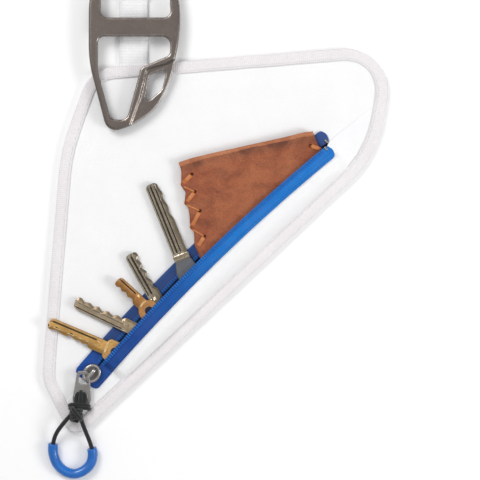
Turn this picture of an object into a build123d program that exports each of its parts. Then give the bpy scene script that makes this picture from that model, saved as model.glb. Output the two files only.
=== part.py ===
"""A carabiner clip with a small sail-shaped key pouch: five keys and a leather case in an open zip.

Frame: it lies flat on its back. +X is to the right, +Y towards the clip's closed end, +Z up.
The origin is on the surface under the middle of the object. All sizes are in millimetres.
"""
from build123d import *
from math import cos, sin, tan, radians, degrees
import os

# ---- driving dimensions -------------------------------------------------------------------------
# pouch outline: corners of the bound edge, and the radius that rounds each of them
POUCH_CORNERS = [(-73, 62.2), (-89.5, 16), (-100, -112), (-82.4, -147.5), (88, 13), (99.7, 76)]
POUCH_RADII = [20, 110, 26, 8.5, 60, 24]
BINDING_WIDTH = 6.7
BINDING_WALL = 0.8
BINDING_LIP = 0.6
POUCH_HEIGHT = 3.6
PANEL = 0.8
BACK_Z = 0.6
LINING_Z = 1.45
LINING = 0.45
FRONT_Z = 2.0

# zip: its mouth edge is a shallow arc whose crown is at ZIP_CROWN
ZIP_RADIUS = 1080.0
ZIP_CROWN = (-5.2, -38.2)
ZIP_NORMAL_DEG = 134.0
ZIP_START = -103.0
ZIP_END = 90.5
TAPE_WIDTH = 8.3
TAPE = 0.8
TEETH_WIDTH = 2.0
TEETH_HEIGHT = 0.9
FOLD_DROP = 13.7
FOLD_START = -90.0
FOLD_END = 97.0
UPPER_TAPE_Z = FRONT_Z + PANEL
# height of the lower tape along the zip: over the slider, the keys and the case
LOWER_TAPE_RISE = [(-120, 2.8), (-89.3, 2.85), (-85.8, 6.9), (-82, 7.7), (-62, 10.2), (-38, 10.2),
                   (-10, 9.2), (84, 9.0), (91, 6.5), (97, 3.0), (140, 2.8)]

# keys: plate thickness, and the two levels that they lie on
KEY_THICK = 2.0
LOW_Z = 4.5
HIGH_Z = 7.35
POST_RADIUS = 1.6
POST_HOLE_GAP = 0.05
POST_HEAD = 0.5
PLATE_Z = 2.0
PLATE = 0.8
HEAD_THICK = 3.4
# each key: where its hole is, which way its blade points, and its cuts as (distance from tip, depth)
KEYS = {
    "key_1": dict(hole=(-58.8, -96.6), heading=157.1, length=40.4, width=8.2, level=LOW_Z, bow=6.1,
                  square=True, cut_side=1,
                  cuts=[(2.5, 1.6), (5, 2.6), (8, 1.9), (11, 1.5), (14, 2.7), (17, 1.6), (20, 2.1),
                        (22, 1.2), (24, 2.0), (26, 0.3)]),
    "key_2": dict(hole=(-43.0, -86.2), heading=154.4, length=42.0, width=8.0, level=LOW_Z, bow=6.2,
                  square=False, cut_side=-1,
                  cuts=[(2.5, 1.0), (5, 2.2), (8, 1.5), (10.5, 2.4), (13, 1.2), (16, 2.6), (19, 1.3),
                        (22, 2.2), (25, 1.0), (28, 1.6), (30, 0.2)]),
    "key_3": dict(hole=(-39.4, -73.5), heading=137.6, length=24.8, width=7.0, level=HIGH_Z, bow=6.2,
                  square=False, cut_side=1,
                  cuts=[(1.8, 1.0), (4, 2.0), (6, 1.2), (8, 2.2), (10.5, 1.1), (13, 1.9), (15.5, 0.2)]),
    "key_4": dict(hole=(-31.6, -74.2), heading=119.3, length=37.5, width=8.0, level=LOW_Z, bow=5.2,
                  square=False, cut_side=-1,
                  cuts=[(2.5, 0.8), (5, 2.1), (7.5, 1.4), (10, 2.5), (13, 1.2), (16, 2.3), (19, 1.0),
                        (22, 1.7), (24.5, 0.2)]),
    "key_5": dict(hole=(-15.5, -58.0), heading=112.0, length=60.1, width=8.9, level=LOW_Z),
}

# leather case
CASE_Z = 4.4
LEATHER = 1.7
CASE_HOLES = [(-15.7, 2.8), (-14.0, -7.0), (-11.2, -17.6), (-8.7, -31.9), (50.7, 18.8)]
CASE_LACE_EDGE = [(-20.0, -2.6), (-18.0, -13.0), (-15.0, -26.6), (-12.0, -37.2), (53.4, 21.4)]

# carabiner
CLIP_Z = 4.8
CLIP_THICK = 5.0
BOW_Y = 130.5
GATE_PIVOT = (-25.3, 103.0)
GATE_NOSE = (-29.4, 123.6)
GATE_WIDTH = 4.6
TONGUE = 2.2
SLOT = 3.2
PIN_RADIUS = 0.9
TONGUE_REACH = 2.6
CHEEK_RADIUS = 2.7
GATE_GAP = 0.3
WEB = 2.6

# hang strap
STRAP_WIDTH = 16.0
STRAP_THICK = 1.3
STRAP_X = -48.6

# slider, pull, cord and grip
SLIDER_S = -97.0
TAB = 1.3
TAB_X = -76.2
TAB_TILT = 10.0
TAB_HOLE = 3.9
TAB_HOLE_Y = -13.9
HINGE_Y = -108.0
HINGE_Z = 8.05
CORD_ROUTE = [(-82.2, -130.4, 7.6), (-87.5, -136.2, 8.2), (-92.8, -143.5, 4.8), (-94.2, -152.7, 2.85),
              (-91.0, -161.3, 2.85), (-82.2, -166.2, 2.85), (-73.6, -161.9, 2.85),
              (-70.9, -155.0, 2.85), (-72.6, -147.5, 4.6), (-76.5, -137.6, 8.2), (-78.6, -131.2, 7.6)]
CORD_RADIUS = 1.2
GRIP_RADIUS = 2.8
GRIP_BORE = 1.25

# from the drawing's zero to the middle of the object, cord and grip left out
TO_ORIGIN = (2.557, 1.725, 0)

os.makedirs("parts", exist_ok=True)


def save(name, shape):
    """Write one named piece to its own file, in the object's own frame."""
    export_step(Pos(*TO_ORIGIN) * shape, "parts/" + name + ".step")


def plan(points, radii):
    """A flat face with rounded corners, on z = 0."""
    return make_face(FilletPolyline(*points, radius=radii, close=True).edges())


def slab(face, z0, z1):
    """A flat face raised to the stretch from z0 to z1."""
    return extrude(Pos(0, 0, z0) * face, z1 - z0)


def tube_path(points, closeness=0.45):
    """Straight runs joined by tangent arcs as large as the runs allow; returns the wire and radii."""
    vectors = [Vector(*p) for p in points]
    arcs = []
    for before, here, after in zip(vectors, vectors[1:], vectors[2:]):
        half_turn = radians((here - before).get_angle(after - here)) / 2
        arcs.append(closeness * min((here - before).length, (after - here).length) / tan(half_turn))
    return FilletPolyline(*points, radius=arcs), arcs


def round_bar(points, radius):
    """A round bar along a path of runs and arcs."""
    line, _ = tube_path(points)
    start = Plane(origin=line @ 0, z_dir=line % 0)
    return sweep(start * Circle(radius), path=line)


# ---- zip frame: s runs along the mouth edge, drop runs from it towards the lower edge -------------
def zip_centre():
    angle = radians(ZIP_NORMAL_DEG)
    return (ZIP_CROWN[0] - ZIP_RADIUS * cos(angle), ZIP_CROWN[1] - ZIP_RADIUS * sin(angle))


def zip_point(s, drop=0.0):
    """The point s along the mouth edge from its crown, and drop below it."""
    angle = radians(ZIP_NORMAL_DEG) - s / ZIP_RADIUS
    centre = zip_centre()
    reach = ZIP_RADIUS - drop
    return (centre[0] + reach * cos(angle), centre[1] + reach * sin(angle))


def zip_tangent_deg(s):
    """Direction of the zip at s, as an angle from +X."""
    return ZIP_NORMAL_DEG - 90 - degrees(s / ZIP_RADIUS)


def zip_strip(s0, s1, drop0, drop1, corner=0.0):
    """A plan strip that follows the zip, with rounded ends where corner is given."""
    middle = (s0 + s1) / 2
    edges = [ThreePointArc(zip_point(s0, drop0), zip_point(middle, drop0), zip_point(s1, drop0)),
             Line(zip_point(s1, drop0), zip_point(s1, drop1)),
             ThreePointArc(zip_point(s1, drop1), zip_point(middle, drop1), zip_point(s0, drop1)),
             Line(zip_point(s0, drop1), zip_point(s0, drop0))]
    face = make_face(edges)
    return fillet(face.vertices(), corner) if corner else face


def zip_side():
    """Upright plane along the zip: x runs with s, y is height."""
    along, across = radians(ZIP_NORMAL_DEG - 90), radians(ZIP_NORMAL_DEG - 180)
    return Plane(origin=(*ZIP_CROWN, 0), x_dir=(cos(along), sin(along), 0),
                 z_dir=(cos(across), sin(across), 0))


def side_profile(points, depth):
    """A thick band seen from the side of the zip, as a wall across the whole pouch."""
    top = [(s, z + depth) for s, z in points]
    face = make_face(Polyline(*points, *reversed(top), close=True))
    return extrude(zip_side() * face, 200, both=True)


# ---- pouch ---------------------------------------------------------------------------------------
def pouch_plan(inset=0.0):
    face = plan(POUCH_CORNERS, POUCH_RADII)
    return offset(face, -inset) if inset else face


def make_binding():
    """Edge tape of U section: a wall round the edge with a lip above and below the panels."""
    inner = pouch_plan(BINDING_WIDTH)
    whole = slab(pouch_plan() - inner, 0, POUCH_HEIGHT)
    channel = slab(pouch_plan(BINDING_WALL) - inner, BINDING_LIP, POUCH_HEIGHT - BINDING_LIP)
    return whole - channel - make_strap()


def make_back_panel():
    return slab(pouch_plan(BINDING_WALL), BACK_Z, BACK_Z + PANEL)


def make_lining():
    """Blue lining between the panels, under the mouth."""
    band = zip_strip(ZIP_START + 4, ZIP_END - 3, -16, 9, corner=4)
    return slab(band, LINING_Z, LINING_Z + LINING)


def mouth_side(upper):
    """The plan region above or below the mouth edge, out to beyond the pouch."""
    return zip_strip(-170, 190, -260, 0.0) if upper else zip_strip(-170, 190, 0.3, 130)


def make_front_upper():
    """Flat panel above the mouth; its lower edge is sewn to the upper tape."""
    return slab(pouch_plan(BINDING_WALL) & mouth_side(True), FRONT_Z, FRONT_Z + PANEL) \
        - make_key_plate()


def make_front_lower():
    """Panel below the mouth: a shelf over the keys, a standing fold, and a flat rim in the binding."""
    rim = pouch_plan(BINDING_WALL) & zip_strip(-170, 190, FOLD_DROP, 130)
    end_caps = (pouch_plan(BINDING_WALL) & zip_strip(-170, FOLD_START, 0.3, FOLD_DROP + 0.1)) \
        + (pouch_plan(BINDING_WALL) & zip_strip(FOLD_END, 190, 0.3, FOLD_DROP + 0.1))
    flat = slab(rim, FRONT_Z, FRONT_Z + PANEL) + slab(end_caps, FRONT_Z, FRONT_Z + PANEL)
    shelf_top = [(s, z - PANEL) for s, z in LOWER_TAPE_RISE]
    shelf = slab(zip_strip(FOLD_START - 2, FOLD_END + 2, 6.0, FOLD_DROP + PANEL), 0, 20) \
        & side_profile(shelf_top, PANEL)
    fold = slab(zip_strip(FOLD_START, FOLD_END, FOLD_DROP, FOLD_DROP + PANEL), FRONT_Z, 20) \
        & under_rise()
    return flat + fold + shelf


def under_rise():
    """The space below the lower tape, seen from the side."""
    floor = [(LOWER_TAPE_RISE[-1][0], 0), (LOWER_TAPE_RISE[0][0], 0)]
    return extrude(zip_side() * make_face(Polyline(*LOWER_TAPE_RISE, *floor, close=True)), 200, both=True)


def make_strap():
    """Webbing from the pouch's top edge, round the clip's bow, and back onto itself."""
    half = STRAP_THICK / 2
    low, high = 1.75, CLIP_Z + CLIP_THICK + 2.9
    line = FilletPolyline((0, 61.5, low), (0, 122, low), (0, 137.2, low + 0.4), (0, 138.2, high - 0.4),
                          (0, 122.5, high), (0, 120.5, low + STRAP_THICK), (0, 102, low + STRAP_THICK),
                          radius=[6, 3.5, 3.5, 3.5, 1.2])
    section = Plane(origin=line @ 0, x_dir=(1, 0, 0), z_dir=line % 0) * Rectangle(STRAP_WIDTH, 2 * half)
    webbing = Pos(STRAP_X, 0, 0) * sweep(section, path=line, transition=Transition.RIGHT)
    return webbing - slab(pouch_plan(BINDING_WALL), 0, POUCH_HEIGHT)


def make_strap_tack():
    """Two bars of stitching that hold the strap's fold."""
    rows = [Pos(STRAP_X, y, 1.75 + 1.5 * STRAP_THICK + 0.15) * Box(STRAP_WIDTH - 3, 0.9, 0.3)
            for y in (104, 116)]
    return Compound(rows)


# ---- zip -----------------------------------------------------------------------------------------
def post_room():
    """Notches where the key posts stand beside the upper half of the zip."""
    return Compound([Pos(*key["hole"], 5) * Cylinder(POST_RADIUS + 0.15, 10) for key in KEYS.values()])


def make_upper_tape():
    return slab(zip_strip(ZIP_START, ZIP_END, -TAPE_WIDTH, -0.4, corner=3.2),
                UPPER_TAPE_Z, UPPER_TAPE_Z + TAPE) - post_room()


def make_lower_tape():
    """Front half of the zip, raised over the keys; it meets the upper half at the slider."""
    shape = slab(zip_strip(ZIP_START, ZIP_END, 0.4, TAPE_WIDTH, corner=3.2), 0, 20)
    return shape & side_profile(LOWER_TAPE_RISE, TAPE)


def make_lower_teeth():
    shape = slab(zip_strip(SLIDER_S + 8, ZIP_END - 3, 0.5, 0.5 + TEETH_WIDTH), 0, 20)
    lifted = [(s, z + TAPE) for s, z in LOWER_TAPE_RISE]
    return shape & side_profile(lifted, TEETH_HEIGHT)


def make_upper_teeth():
    strip = zip_strip(SLIDER_S + 8, ZIP_END - 3, -0.5 - TEETH_WIDTH, -0.5)
    return slab(strip, UPPER_TAPE_Z + TAPE, LOW_Z - 0.35) - post_room()


def make_end_stops():
    """A small metal crimp on each tape at the zip's right end."""
    lower_z = 9.2 - 2.4 + TAPE
    stops = []
    for drop, z in ((-1.5, UPPER_TAPE_Z + TAPE), (1.5, lower_z + 1.2)):
        place = zip_point(ZIP_END - 2.2, drop)
        stops.append(Pos(place[0], place[1], z + 0.5) * Rot(0, 0, zip_tangent_deg(ZIP_END))
                     * Box(1.6, 2.2, 1.0))
    return Compound(stops)


def slider_place():
    place = zip_point(SLIDER_S)
    return Pos(place[0], place[1], 0) * Rot(0, 0, zip_tangent_deg(SLIDER_S))


def make_slider_body():
    """Oval slider: a lower and an upper plate joined by a post, over the closed end of the teeth."""
    oval = make_face(Ellipse(5.8, 4.9).edges())
    upper = extrude(Pos(0, 0, 5.1) * oval, 1.3)
    upper = fillet(upper.edges().group_by(Axis.Z)[-1], 0.8)
    lower = extrude(Pos(0, 0, 3.75) * Ellipse(5.2, 4.0), 0.5)
    post = Pos(2.6, 0, 4.7) * Box(1.6, 1.8, 1.4)
    return slider_place() * (upper + lower + post)


def make_slider_bail():
    """A small arch along the slider that the pull tab hangs on."""
    arch = FilletPolyline((-4.3, 0, 6.4), (-4.3, 0, 10.0), (3.4, 0, 10.0), (3.4, 0, 6.4), radius=1.5)
    section = Plane(origin=arch @ 0, x_dir=(1, 0, 0), z_dir=arch % 0) * RectangleRounded(1.4, 1.8, 0.4)
    return slider_place() * sweep(section, path=arch)


# ---- pull tab, cord and grip ---------------------------------------------------------------------
def make_pull_tab():
    """Tapered metal tab with a small upper hole on the bail and a round lower hole for the cord."""
    outline = plan([(-79.7, 0.9), (-72.9, 0.9), (-71.9, -19.6), (-83.4, -19.6)], [2.2, 2.2, 4.6, 4.6])
    upper_hole = Pos(TAB_X, -3.9) * RectangleRounded(5.2, 6.0, 1.8)
    lower_hole = Pos(TAB_X - 1.6, TAB_HOLE_Y) * Circle(TAB_HOLE)
    blank = extrude(Pos(0, 0, -TAB / 2) * (outline - upper_hole - lower_hole), TAB)
    return Pos(0, HINGE_Y, HINGE_Z) * Rot(TAB_TILT, 0, 0) * blank


def tab_hole_centre():
    tilt = radians(TAB_TILT)
    return (TAB_X - 1.6, HINGE_Y + TAB_HOLE_Y * cos(tilt), HINGE_Z + TAB_HOLE_Y * sin(tilt))


def make_cord():
    """The loop of cord outside the knot."""
    return round_bar(CORD_ROUTE, CORD_RADIUS)


def make_cord_knot():
    body = scale(Sphere(1), by=(4.1, 4.9, 3.9))
    return Pos(-80.4, -131.8, 7.7) * body - make_cord()


def make_cord_wrap():
    """The cord's turns in the tab's hole and across the tab's end."""
    x, y, z = tab_hole_centre()
    turns = Pos(x, y, z + 0.3) * scale(Sphere(1), by=(3.6, 3.3, 2.3))
    bar = Pos(x - 0.6, y - 4.2, z + 1.9) * Rot(0, 90, 0) * Cylinder(1.4, 9.5)
    return turns + bar - make_cord_knot() - make_pull_tab()


def make_grip():
    """Flexible tube round the lower bend of the cord."""
    _, arcs = tube_path(CORD_ROUTE)
    first = (Vector(*CORD_ROUTE[2]) + Vector(*CORD_ROUTE[3])) / 2
    last = (Vector(*CORD_ROUTE[7]) + Vector(*CORD_ROUTE[8])) / 2
    line = FilletPolyline(first, *CORD_ROUTE[3:8], last, radius=arcs[2:7])
    start = Plane(origin=line @ 0, z_dir=line % 0)
    return sweep(start * (Circle(GRIP_RADIUS) - Circle(GRIP_BORE)), path=line)


# ---- keys ----------------------------------------------------------------------------------------
def key_place(key):
    return Pos(*key["hole"], key["level"]) * Rot(0, 0, key["heading"])


def blade_outline(key):
    """Blade from the bow to the tip: one straight back, and the cuts on the other side."""
    half = key["width"] / 2
    side = key["cut_side"]
    tip = key["length"]
    points = [(0, -side * half), (tip - 3, -side * half), (tip, -side * half * 0.3),
              (tip - 0.5, side * half * 0.35)]
    points += [(tip - along, side * (half - depth)) for along, depth in key["cuts"]]
    points += [(0, side * half)]
    return make_face(Polyline(*points, close=True))


def make_key(key):
    """A flat key with a round or square bow, its hole on the swivel post."""
    bow = key["bow"]
    if key["square"]:
        head = Pos(0.3, 0) * RectangleRounded(2 * bow + 1, 2 * bow, 2.4)
    else:
        head = Circle(bow)
    shape = head + blade_outline(key) - Circle(POST_RADIUS + POST_HOLE_GAP)
    body = extrude(shape, KEY_THICK)
    half = key["width"] / 2
    groove_y = -key["cut_side"] * half * 0.25
    groove = Pos((key["length"] + bow + 2) / 2, groove_y, KEY_THICK) \
        * Box(key["length"] - bow - 4, 1.1, 0.7)
    return key_place(key) * (body - groove)


def make_long_key():
    """Vehicle-type blade: two grooves, a collar, and a tang inside the plastic head."""
    key = KEYS["key_5"]
    tip, half = key["length"], key["width"] / 2
    outline = plan([(8, -half), (tip - 21, -half), (tip - 8, -half + 1.0), (tip - 0.5, -half + 1.9),
                    (tip, half - 1.6), (tip - 4, half), (8, half)], [0.3, 8, 8, 2, 1.6, 2, 0.3])
    body = extrude(outline, KEY_THICK)
    for y in (-1.1, 1.1):
        body -= Pos((tip + 16) / 2, y, KEY_THICK) * Box(tip - 22, 1.0, 0.9)
    collar = Pos(15.6, 0, KEY_THICK / 2) * Box(3.4, key["width"] + 0.6, KEY_THICK + 0.8)
    return key_place(key) * (body + collar)


def make_key_head():
    """Plastic head moulded over the long blade, with a metal-free hole for the post."""
    key = KEYS["key_5"]
    outline = plan([(-6.2, -6.2), (8, -6.2), (13.8, -4.6), (13.8, 4.6), (8, 6.2), (-6.2, 6.2)],
                   [5.6, 4, 1.2, 1.2, 4, 5.6])
    shape = outline - Circle(POST_RADIUS + POST_HOLE_GAP)
    body = extrude(shape, HEAD_THICK)
    body = chamfer(body.edges().group_by(Axis.Z)[-1], 0.5)
    return key_place(key) * body - make_long_key()


def post_top(key):
    thick = HEAD_THICK if key is KEYS["key_5"] else KEY_THICK
    return key["level"] + thick + 0.1


def make_key_post(key):
    """A stud on the key plate: shaft through the key's hole and a head over it."""
    top = post_top(key)
    shaft = extrude(Pos(*key["hole"], PLATE_Z + PLATE) * Circle(POST_RADIUS), top - PLATE_Z - PLATE)
    cap = extrude(Pos(*key["hole"], top) * Circle(POST_RADIUS + 0.9), POST_HEAD)
    return shaft + cap


def make_key_plate():
    """Sheet metal plate that carries the five posts, inside the pouch below the mouth."""
    upper = zip_strip(-84, -14, -1.8, 10.8, corner=3)
    return extrude(Pos(0, 0, PLATE_Z) * upper, PLATE)


def make_plate_rivets():
    """Rivet heads on the plate."""
    spots = [zip_point(-70, 6.5), zip_point(-32, 4.5)]
    return Compound([Pos(x, y, PLATE_Z + PLATE + 0.3) * Cylinder(1.7, 0.6) for x, y in spots])


# ---- leather case --------------------------------------------------------------------------------
def case_plan():
    """Wallet outline; its hidden lower edge runs along the zip, tucked behind the tape."""
    outline = plan([(-23.2, 8.9), (52.6, 26.6), (56.6, 16.4), (62, 4), (-4, -53), (-12.2, -41.5),
                    (-19.6, -8)], [2.5, 2.5, 5, 0.5, 0.5, 20, 30])
    return outline & zip_strip(-170, 190, -260, 4.4)


def make_case_back():
    return slab(case_plan(), CASE_Z, CASE_Z + LEATHER)


def make_case_front():
    holes = [Pos(x, y, CASE_Z + 1.5 * LEATHER) * Cylinder(0.75, 2 * LEATHER) for x, y in CASE_HOLES]
    front = slab(case_plan(), CASE_Z + LEATHER, CASE_Z + 2 * LEATHER)
    for hole in holes:
        front -= hole
    return front


def make_case_lace():
    """Thong laid from each hole to the edge on the front of the case."""
    z = CASE_Z + 2 * LEATHER + 0.45
    bars = []
    for hole, edge in zip(CASE_HOLES, CASE_LACE_EDGE):
        start, end = Vector(*hole, z), Vector(*edge, z)
        across = Plane(origin=start, z_dir=end - start)
        bars.append(extrude(across * Circle(0.45), (end - start).length))
    return Compound(bars)


# ---- carabiner -----------------------------------------------------------------------------------
def clip_outline():
    return plan([(-73.3, 97), (-68.6, 134), (-29.2, 134), (-22.2, 96), (-22.3, 80), (-27.4, 56),
                 (-35.6, 39.2), (-49.3, 30.0), (-62.8, 25.6), (-73.4, 66)],
                [60, 17, 17, 60, 90, 60, 28, 30, 6.5, 70])


def upper_opening():
    return plan([(-66.6, 90.4), (-27.3, 90.4), (-28.2, 101), (-33.2, 127), (-64.0, 127), (-66.6, 101)],
                [4, 3.6, 30, 9, 9, 30])


def lower_opening():
    return plan([(-68.2, 79.8), (-27.8, 79.8), (-27.8, 69.4), (-44.2, 62.3), (-52.0, 33.2),
                 (-60.9, 33.4), (-68.2, 60)],
                [3.4, 4.8, 3.2, 3.4, 4.2, 3.8, 40])


def web_window():
    return plan([(-39.3, 58.3), (-29.6, 62.1), (-32.4, 50.2), (-42.7, 41.2)], [1.8, 1.6, 4, 1.8])


def web_recess():
    """Thinner web between the inner diagonal and the right arm."""
    return plan([(-41.2, 61.2), (-27.6, 65.2), (-31.2, 48), (-45.6, 34.6)], [2.5, 2.5, 7, 3])


def gate_frame():
    """Place whose +X runs from the gate's pivot to its nose, half-way through the clip."""
    pivot, nose = Vector(*GATE_PIVOT), Vector(*GATE_NOSE)
    along = (nose - pivot).normalized()
    return Plane(origin=(pivot.X, pivot.Y, CLIP_Z + CLIP_THICK / 2), x_dir=along, z_dir=(0, 0, 1))


def gate_length():
    return (Vector(*GATE_NOSE) - Vector(*GATE_PIVOT)).length


def make_clip_frame():
    """Forged frame: two openings, a window in the thinner web, and the gap that the gate closes."""
    body = slab(clip_outline(), CLIP_Z, CLIP_Z + CLIP_THICK)
    body = chamfer(body.edges().group_by(Axis.Z)[-1], 0.6)
    openings = upper_opening() + lower_opening() + web_window()
    body -= slab(openings, CLIP_Z - 1, CLIP_Z + CLIP_THICK + 1)
    depth = (CLIP_THICK - WEB) / 2
    recess = slab(web_recess() - web_window(), 0, depth)
    body -= Pos(0, 0, CLIP_Z + CLIP_THICK - depth) * recess
    body -= Pos(0, 0, CLIP_Z) * recess
    length = gate_length()
    place = gate_frame()
    gap = Pos((length - TONGUE_REACH) / 2, 0, 0) * Box(length - TONGUE_REACH, 14, 12) \
        - Cylinder(CHEEK_RADIUS, 12)
    pivot_slot = Pos(0.6, 0, 0) * Box(2 * CHEEK_RADIUS + 1.6, 14, SLOT)
    nose_slot = Pos(length - 0.5, 2.6, 0) * Box(2 * TONGUE_REACH + 1, 9, SLOT)
    pin_bore = Cylinder(PIN_RADIUS, 12)
    return body - place * gap - place * pivot_slot - place * nose_slot - place * pin_bore


def make_gate():
    """Straight gate with a tongue at each end; the lower one turns on the pin."""
    length = gate_length()
    reach = length - TONGUE_REACH - GATE_GAP
    stock = Pos(reach / 2, 0, 0) * Box(reach, GATE_WIDTH, CLIP_THICK - 0.2)
    stock = fillet(stock.edges().filter_by(Axis.X), 1.0) - Cylinder(CHEEK_RADIUS + GATE_GAP, 12)
    tongue = Pos((length + 0.9) / 2, 0, 0) * Box(length + 0.9, 3.2, TONGUE)
    eye = Cylinder(2.0, TONGUE)
    return gate_frame() * (stock + tongue + eye - Cylinder(PIN_RADIUS + 0.05, 12))


def make_gate_pin():
    return gate_frame() * Cylinder(PIN_RADIUS, CLIP_THICK - 0.4)


def make_gate_spring():
    """Flat coil round the pin, between the tongue and the frame's cheek."""
    gap = (SLOT - TONGUE) / 2
    ring = Circle(1.8) - Circle(PIN_RADIUS + 0.15)
    return gate_frame() * Pos(0, 0, TONGUE / 2 + 0.05) * extrude(ring, gap - 0.1)


# ---- all pieces ----------------------------------------------------------------------------------
save("binding_tape", make_binding())
save("back_panel", make_back_panel())
save("lining", make_lining())
save("front_upper_panel", make_front_upper())
save("front_lower_panel", make_front_lower())
save("hang_strap", make_strap())
save("strap_tack", make_strap_tack())
save("upper_zip_tape", make_upper_tape())
save("lower_zip_tape", make_lower_tape())
save("upper_teeth", make_upper_teeth())
save("lower_teeth", make_lower_teeth())
save("zip_end_stops", make_end_stops())
save("slider_body", make_slider_body())
save("slider_bail", make_slider_bail())
save("pull_tab", make_pull_tab())
save("pull_cord", make_cord())
save("cord_knot", make_cord_knot())
save("cord_wrap", make_cord_wrap())
save("grip_tube", make_grip())
for name, key in KEYS.items():
    save(name, make_long_key() if name == "key_5" else make_key(key))
    save(name + "_post", make_key_post(key))
save("key_5_head", make_key_head())
save("key_plate", make_key_plate())
save("plate_rivets", make_plate_rivets())
save("case_back", make_case_back())
save("case_front", make_case_front())
save("case_lace", make_case_lace())
save("carabiner_frame", make_clip_frame())
save("carabiner_gate", make_gate())
save("gate_pin", make_gate_pin())
save("gate_spring", make_gate_spring())

_, cord_arcs = tube_path(CORD_ROUTE)
print("cord arc radii", [round(arc, 1) for arc in cord_arcs])
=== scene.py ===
import bpy
import bmesh
from math import atan2, cos, sin, sqrt, pi, radians, hypot
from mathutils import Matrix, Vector, noise


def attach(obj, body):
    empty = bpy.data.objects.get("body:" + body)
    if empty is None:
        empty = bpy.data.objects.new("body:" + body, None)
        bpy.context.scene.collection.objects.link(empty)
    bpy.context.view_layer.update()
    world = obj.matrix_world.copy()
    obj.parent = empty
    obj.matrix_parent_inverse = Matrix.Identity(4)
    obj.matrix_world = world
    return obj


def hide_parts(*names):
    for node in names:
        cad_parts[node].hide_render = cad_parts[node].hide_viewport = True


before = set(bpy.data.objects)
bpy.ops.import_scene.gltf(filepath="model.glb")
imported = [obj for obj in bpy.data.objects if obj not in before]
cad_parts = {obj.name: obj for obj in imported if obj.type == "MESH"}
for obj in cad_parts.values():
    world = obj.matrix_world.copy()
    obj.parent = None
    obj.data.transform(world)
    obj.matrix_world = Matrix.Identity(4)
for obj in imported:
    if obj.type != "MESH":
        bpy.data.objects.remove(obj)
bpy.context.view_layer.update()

# ---- driving dimensions, in millimetres on the maker's drawing; TO_ORIGIN moves them to the frame ----
MM = 0.001
TO_ORIGIN = (2.557, 1.725)
POUCH_CORNERS = [(-73, 62.2), (-89.5, 16), (-100, -112), (-82.4, -147.5), (88, 13), (99.7, 76)]
POUCH_RADII = [20, 110, 26, 8.5, 60, 24]
ZIP_RADIUS = 1080.0
ZIP_CROWN = (-5.2, -38.2)
ZIP_NORMAL = radians(134.0)
ZIP_START = -103.0
ZIP_END = 90.5
TAPE_WIDTH = 8.3
TEETH_PITCH = 1.5
TEETH_DROP = 1.5
STITCH_DROP = 6.9
# middle heights of the flat front panels, the upper tape, the back and the lining
FRONT_MIDDLE, UPPER_TAPE_MIDDLE, BACK_MIDDLE, LINING_MIDDLE = 2.45, 3.2, 0.9, 1.7
LINING_TOP, LINING_WIDTH = -16, 25
# height of the lower tape's underside along the zip
TAPE_RISE = [(-120, 2.8), (-89.4, 2.85), (-85.4, 7.0), (-80, 8.3), (-62, 10.35), (-38, 10.35),
             (-10, 9.4), (60, 9.1), (80, 8.6), (89, 6.6), (97, 3.6), (140, 2.9)]
SLIDER_S = -97.0
SLIDER_HALF = (5.8, 4.9)
CORD_DIAMETER = 2.4
GRIP_RADIUS = 2.8
CORD_ROUTE = [(-82.2, -130.4, 7.6), (-87.5, -136.2, 8.2), (-92.8, -143.5, 4.8), (-94.2, -152.7, 2.85),
              (-91.0, -161.3, 2.85), (-82.2, -166.2, 2.85), (-73.6, -161.9, 2.85),
              (-70.9, -155.0, 2.85), (-72.6, -147.5, 4.6), (-76.5, -137.6, 8.2), (-78.6, -131.2, 7.6)]
KNOT_CENTRE = (-80.3, -131.4, 7.7)
TAB_HOLE = (-77.8, -121.7, 5.9)
CASE_HOLES = [(-15.7, 2.8), (-14.0, -7.0), (-11.2, -17.6), (-8.7, -31.9), (50.7, 18.8)]
CASE_LACE_EDGE = [(-20.9, -2.6), (-18.9, -13.0), (-15.8, -26.6), (-12.4, -37.6), (56.0, 16.8)]
# half the clip's thickness where it is full, and its middle height
FRAME_HALF = 2.6
CLIP_MIDDLE = 7.3
STRAP_X = -48.6
STRAP_WIDTH = 16.0


def at(x, y, z=0.0):
    """A point of the drawing, in the frame's metres."""
    return Vector(((x + TO_ORIGIN[0]) * MM, (y + TO_ORIGIN[1]) * MM, z * MM))


def drawn(point):
    """A point of the frame, on the drawing."""
    return Vector((point.x / MM - TO_ORIGIN[0], point.y / MM - TO_ORIGIN[1], point.z / MM))


def smooth(t):
    """0..1, eased at both ends and held beyond them."""
    t = min(1.0, max(0.0, t))
    return t * t * (3 - 2 * t)


def stepped(table, x):
    """A smooth curve through a short table of (place, value)."""
    for (x0, v0), (x1, v1) in zip(table, table[1:]):
        if x <= x1:
            return v0 + (v1 - v0) * smooth((x - x0) / (x1 - x0))
    return table[-1][1]


# ---- shapes that several pieces share ---------------------------------------------------------------
def direction(points, i):
    """The unit direction of an open line of points at its point i."""
    return (points[min(i + 1, len(points) - 1)] - points[max(i - 1, 0)]).normalized()


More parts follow.
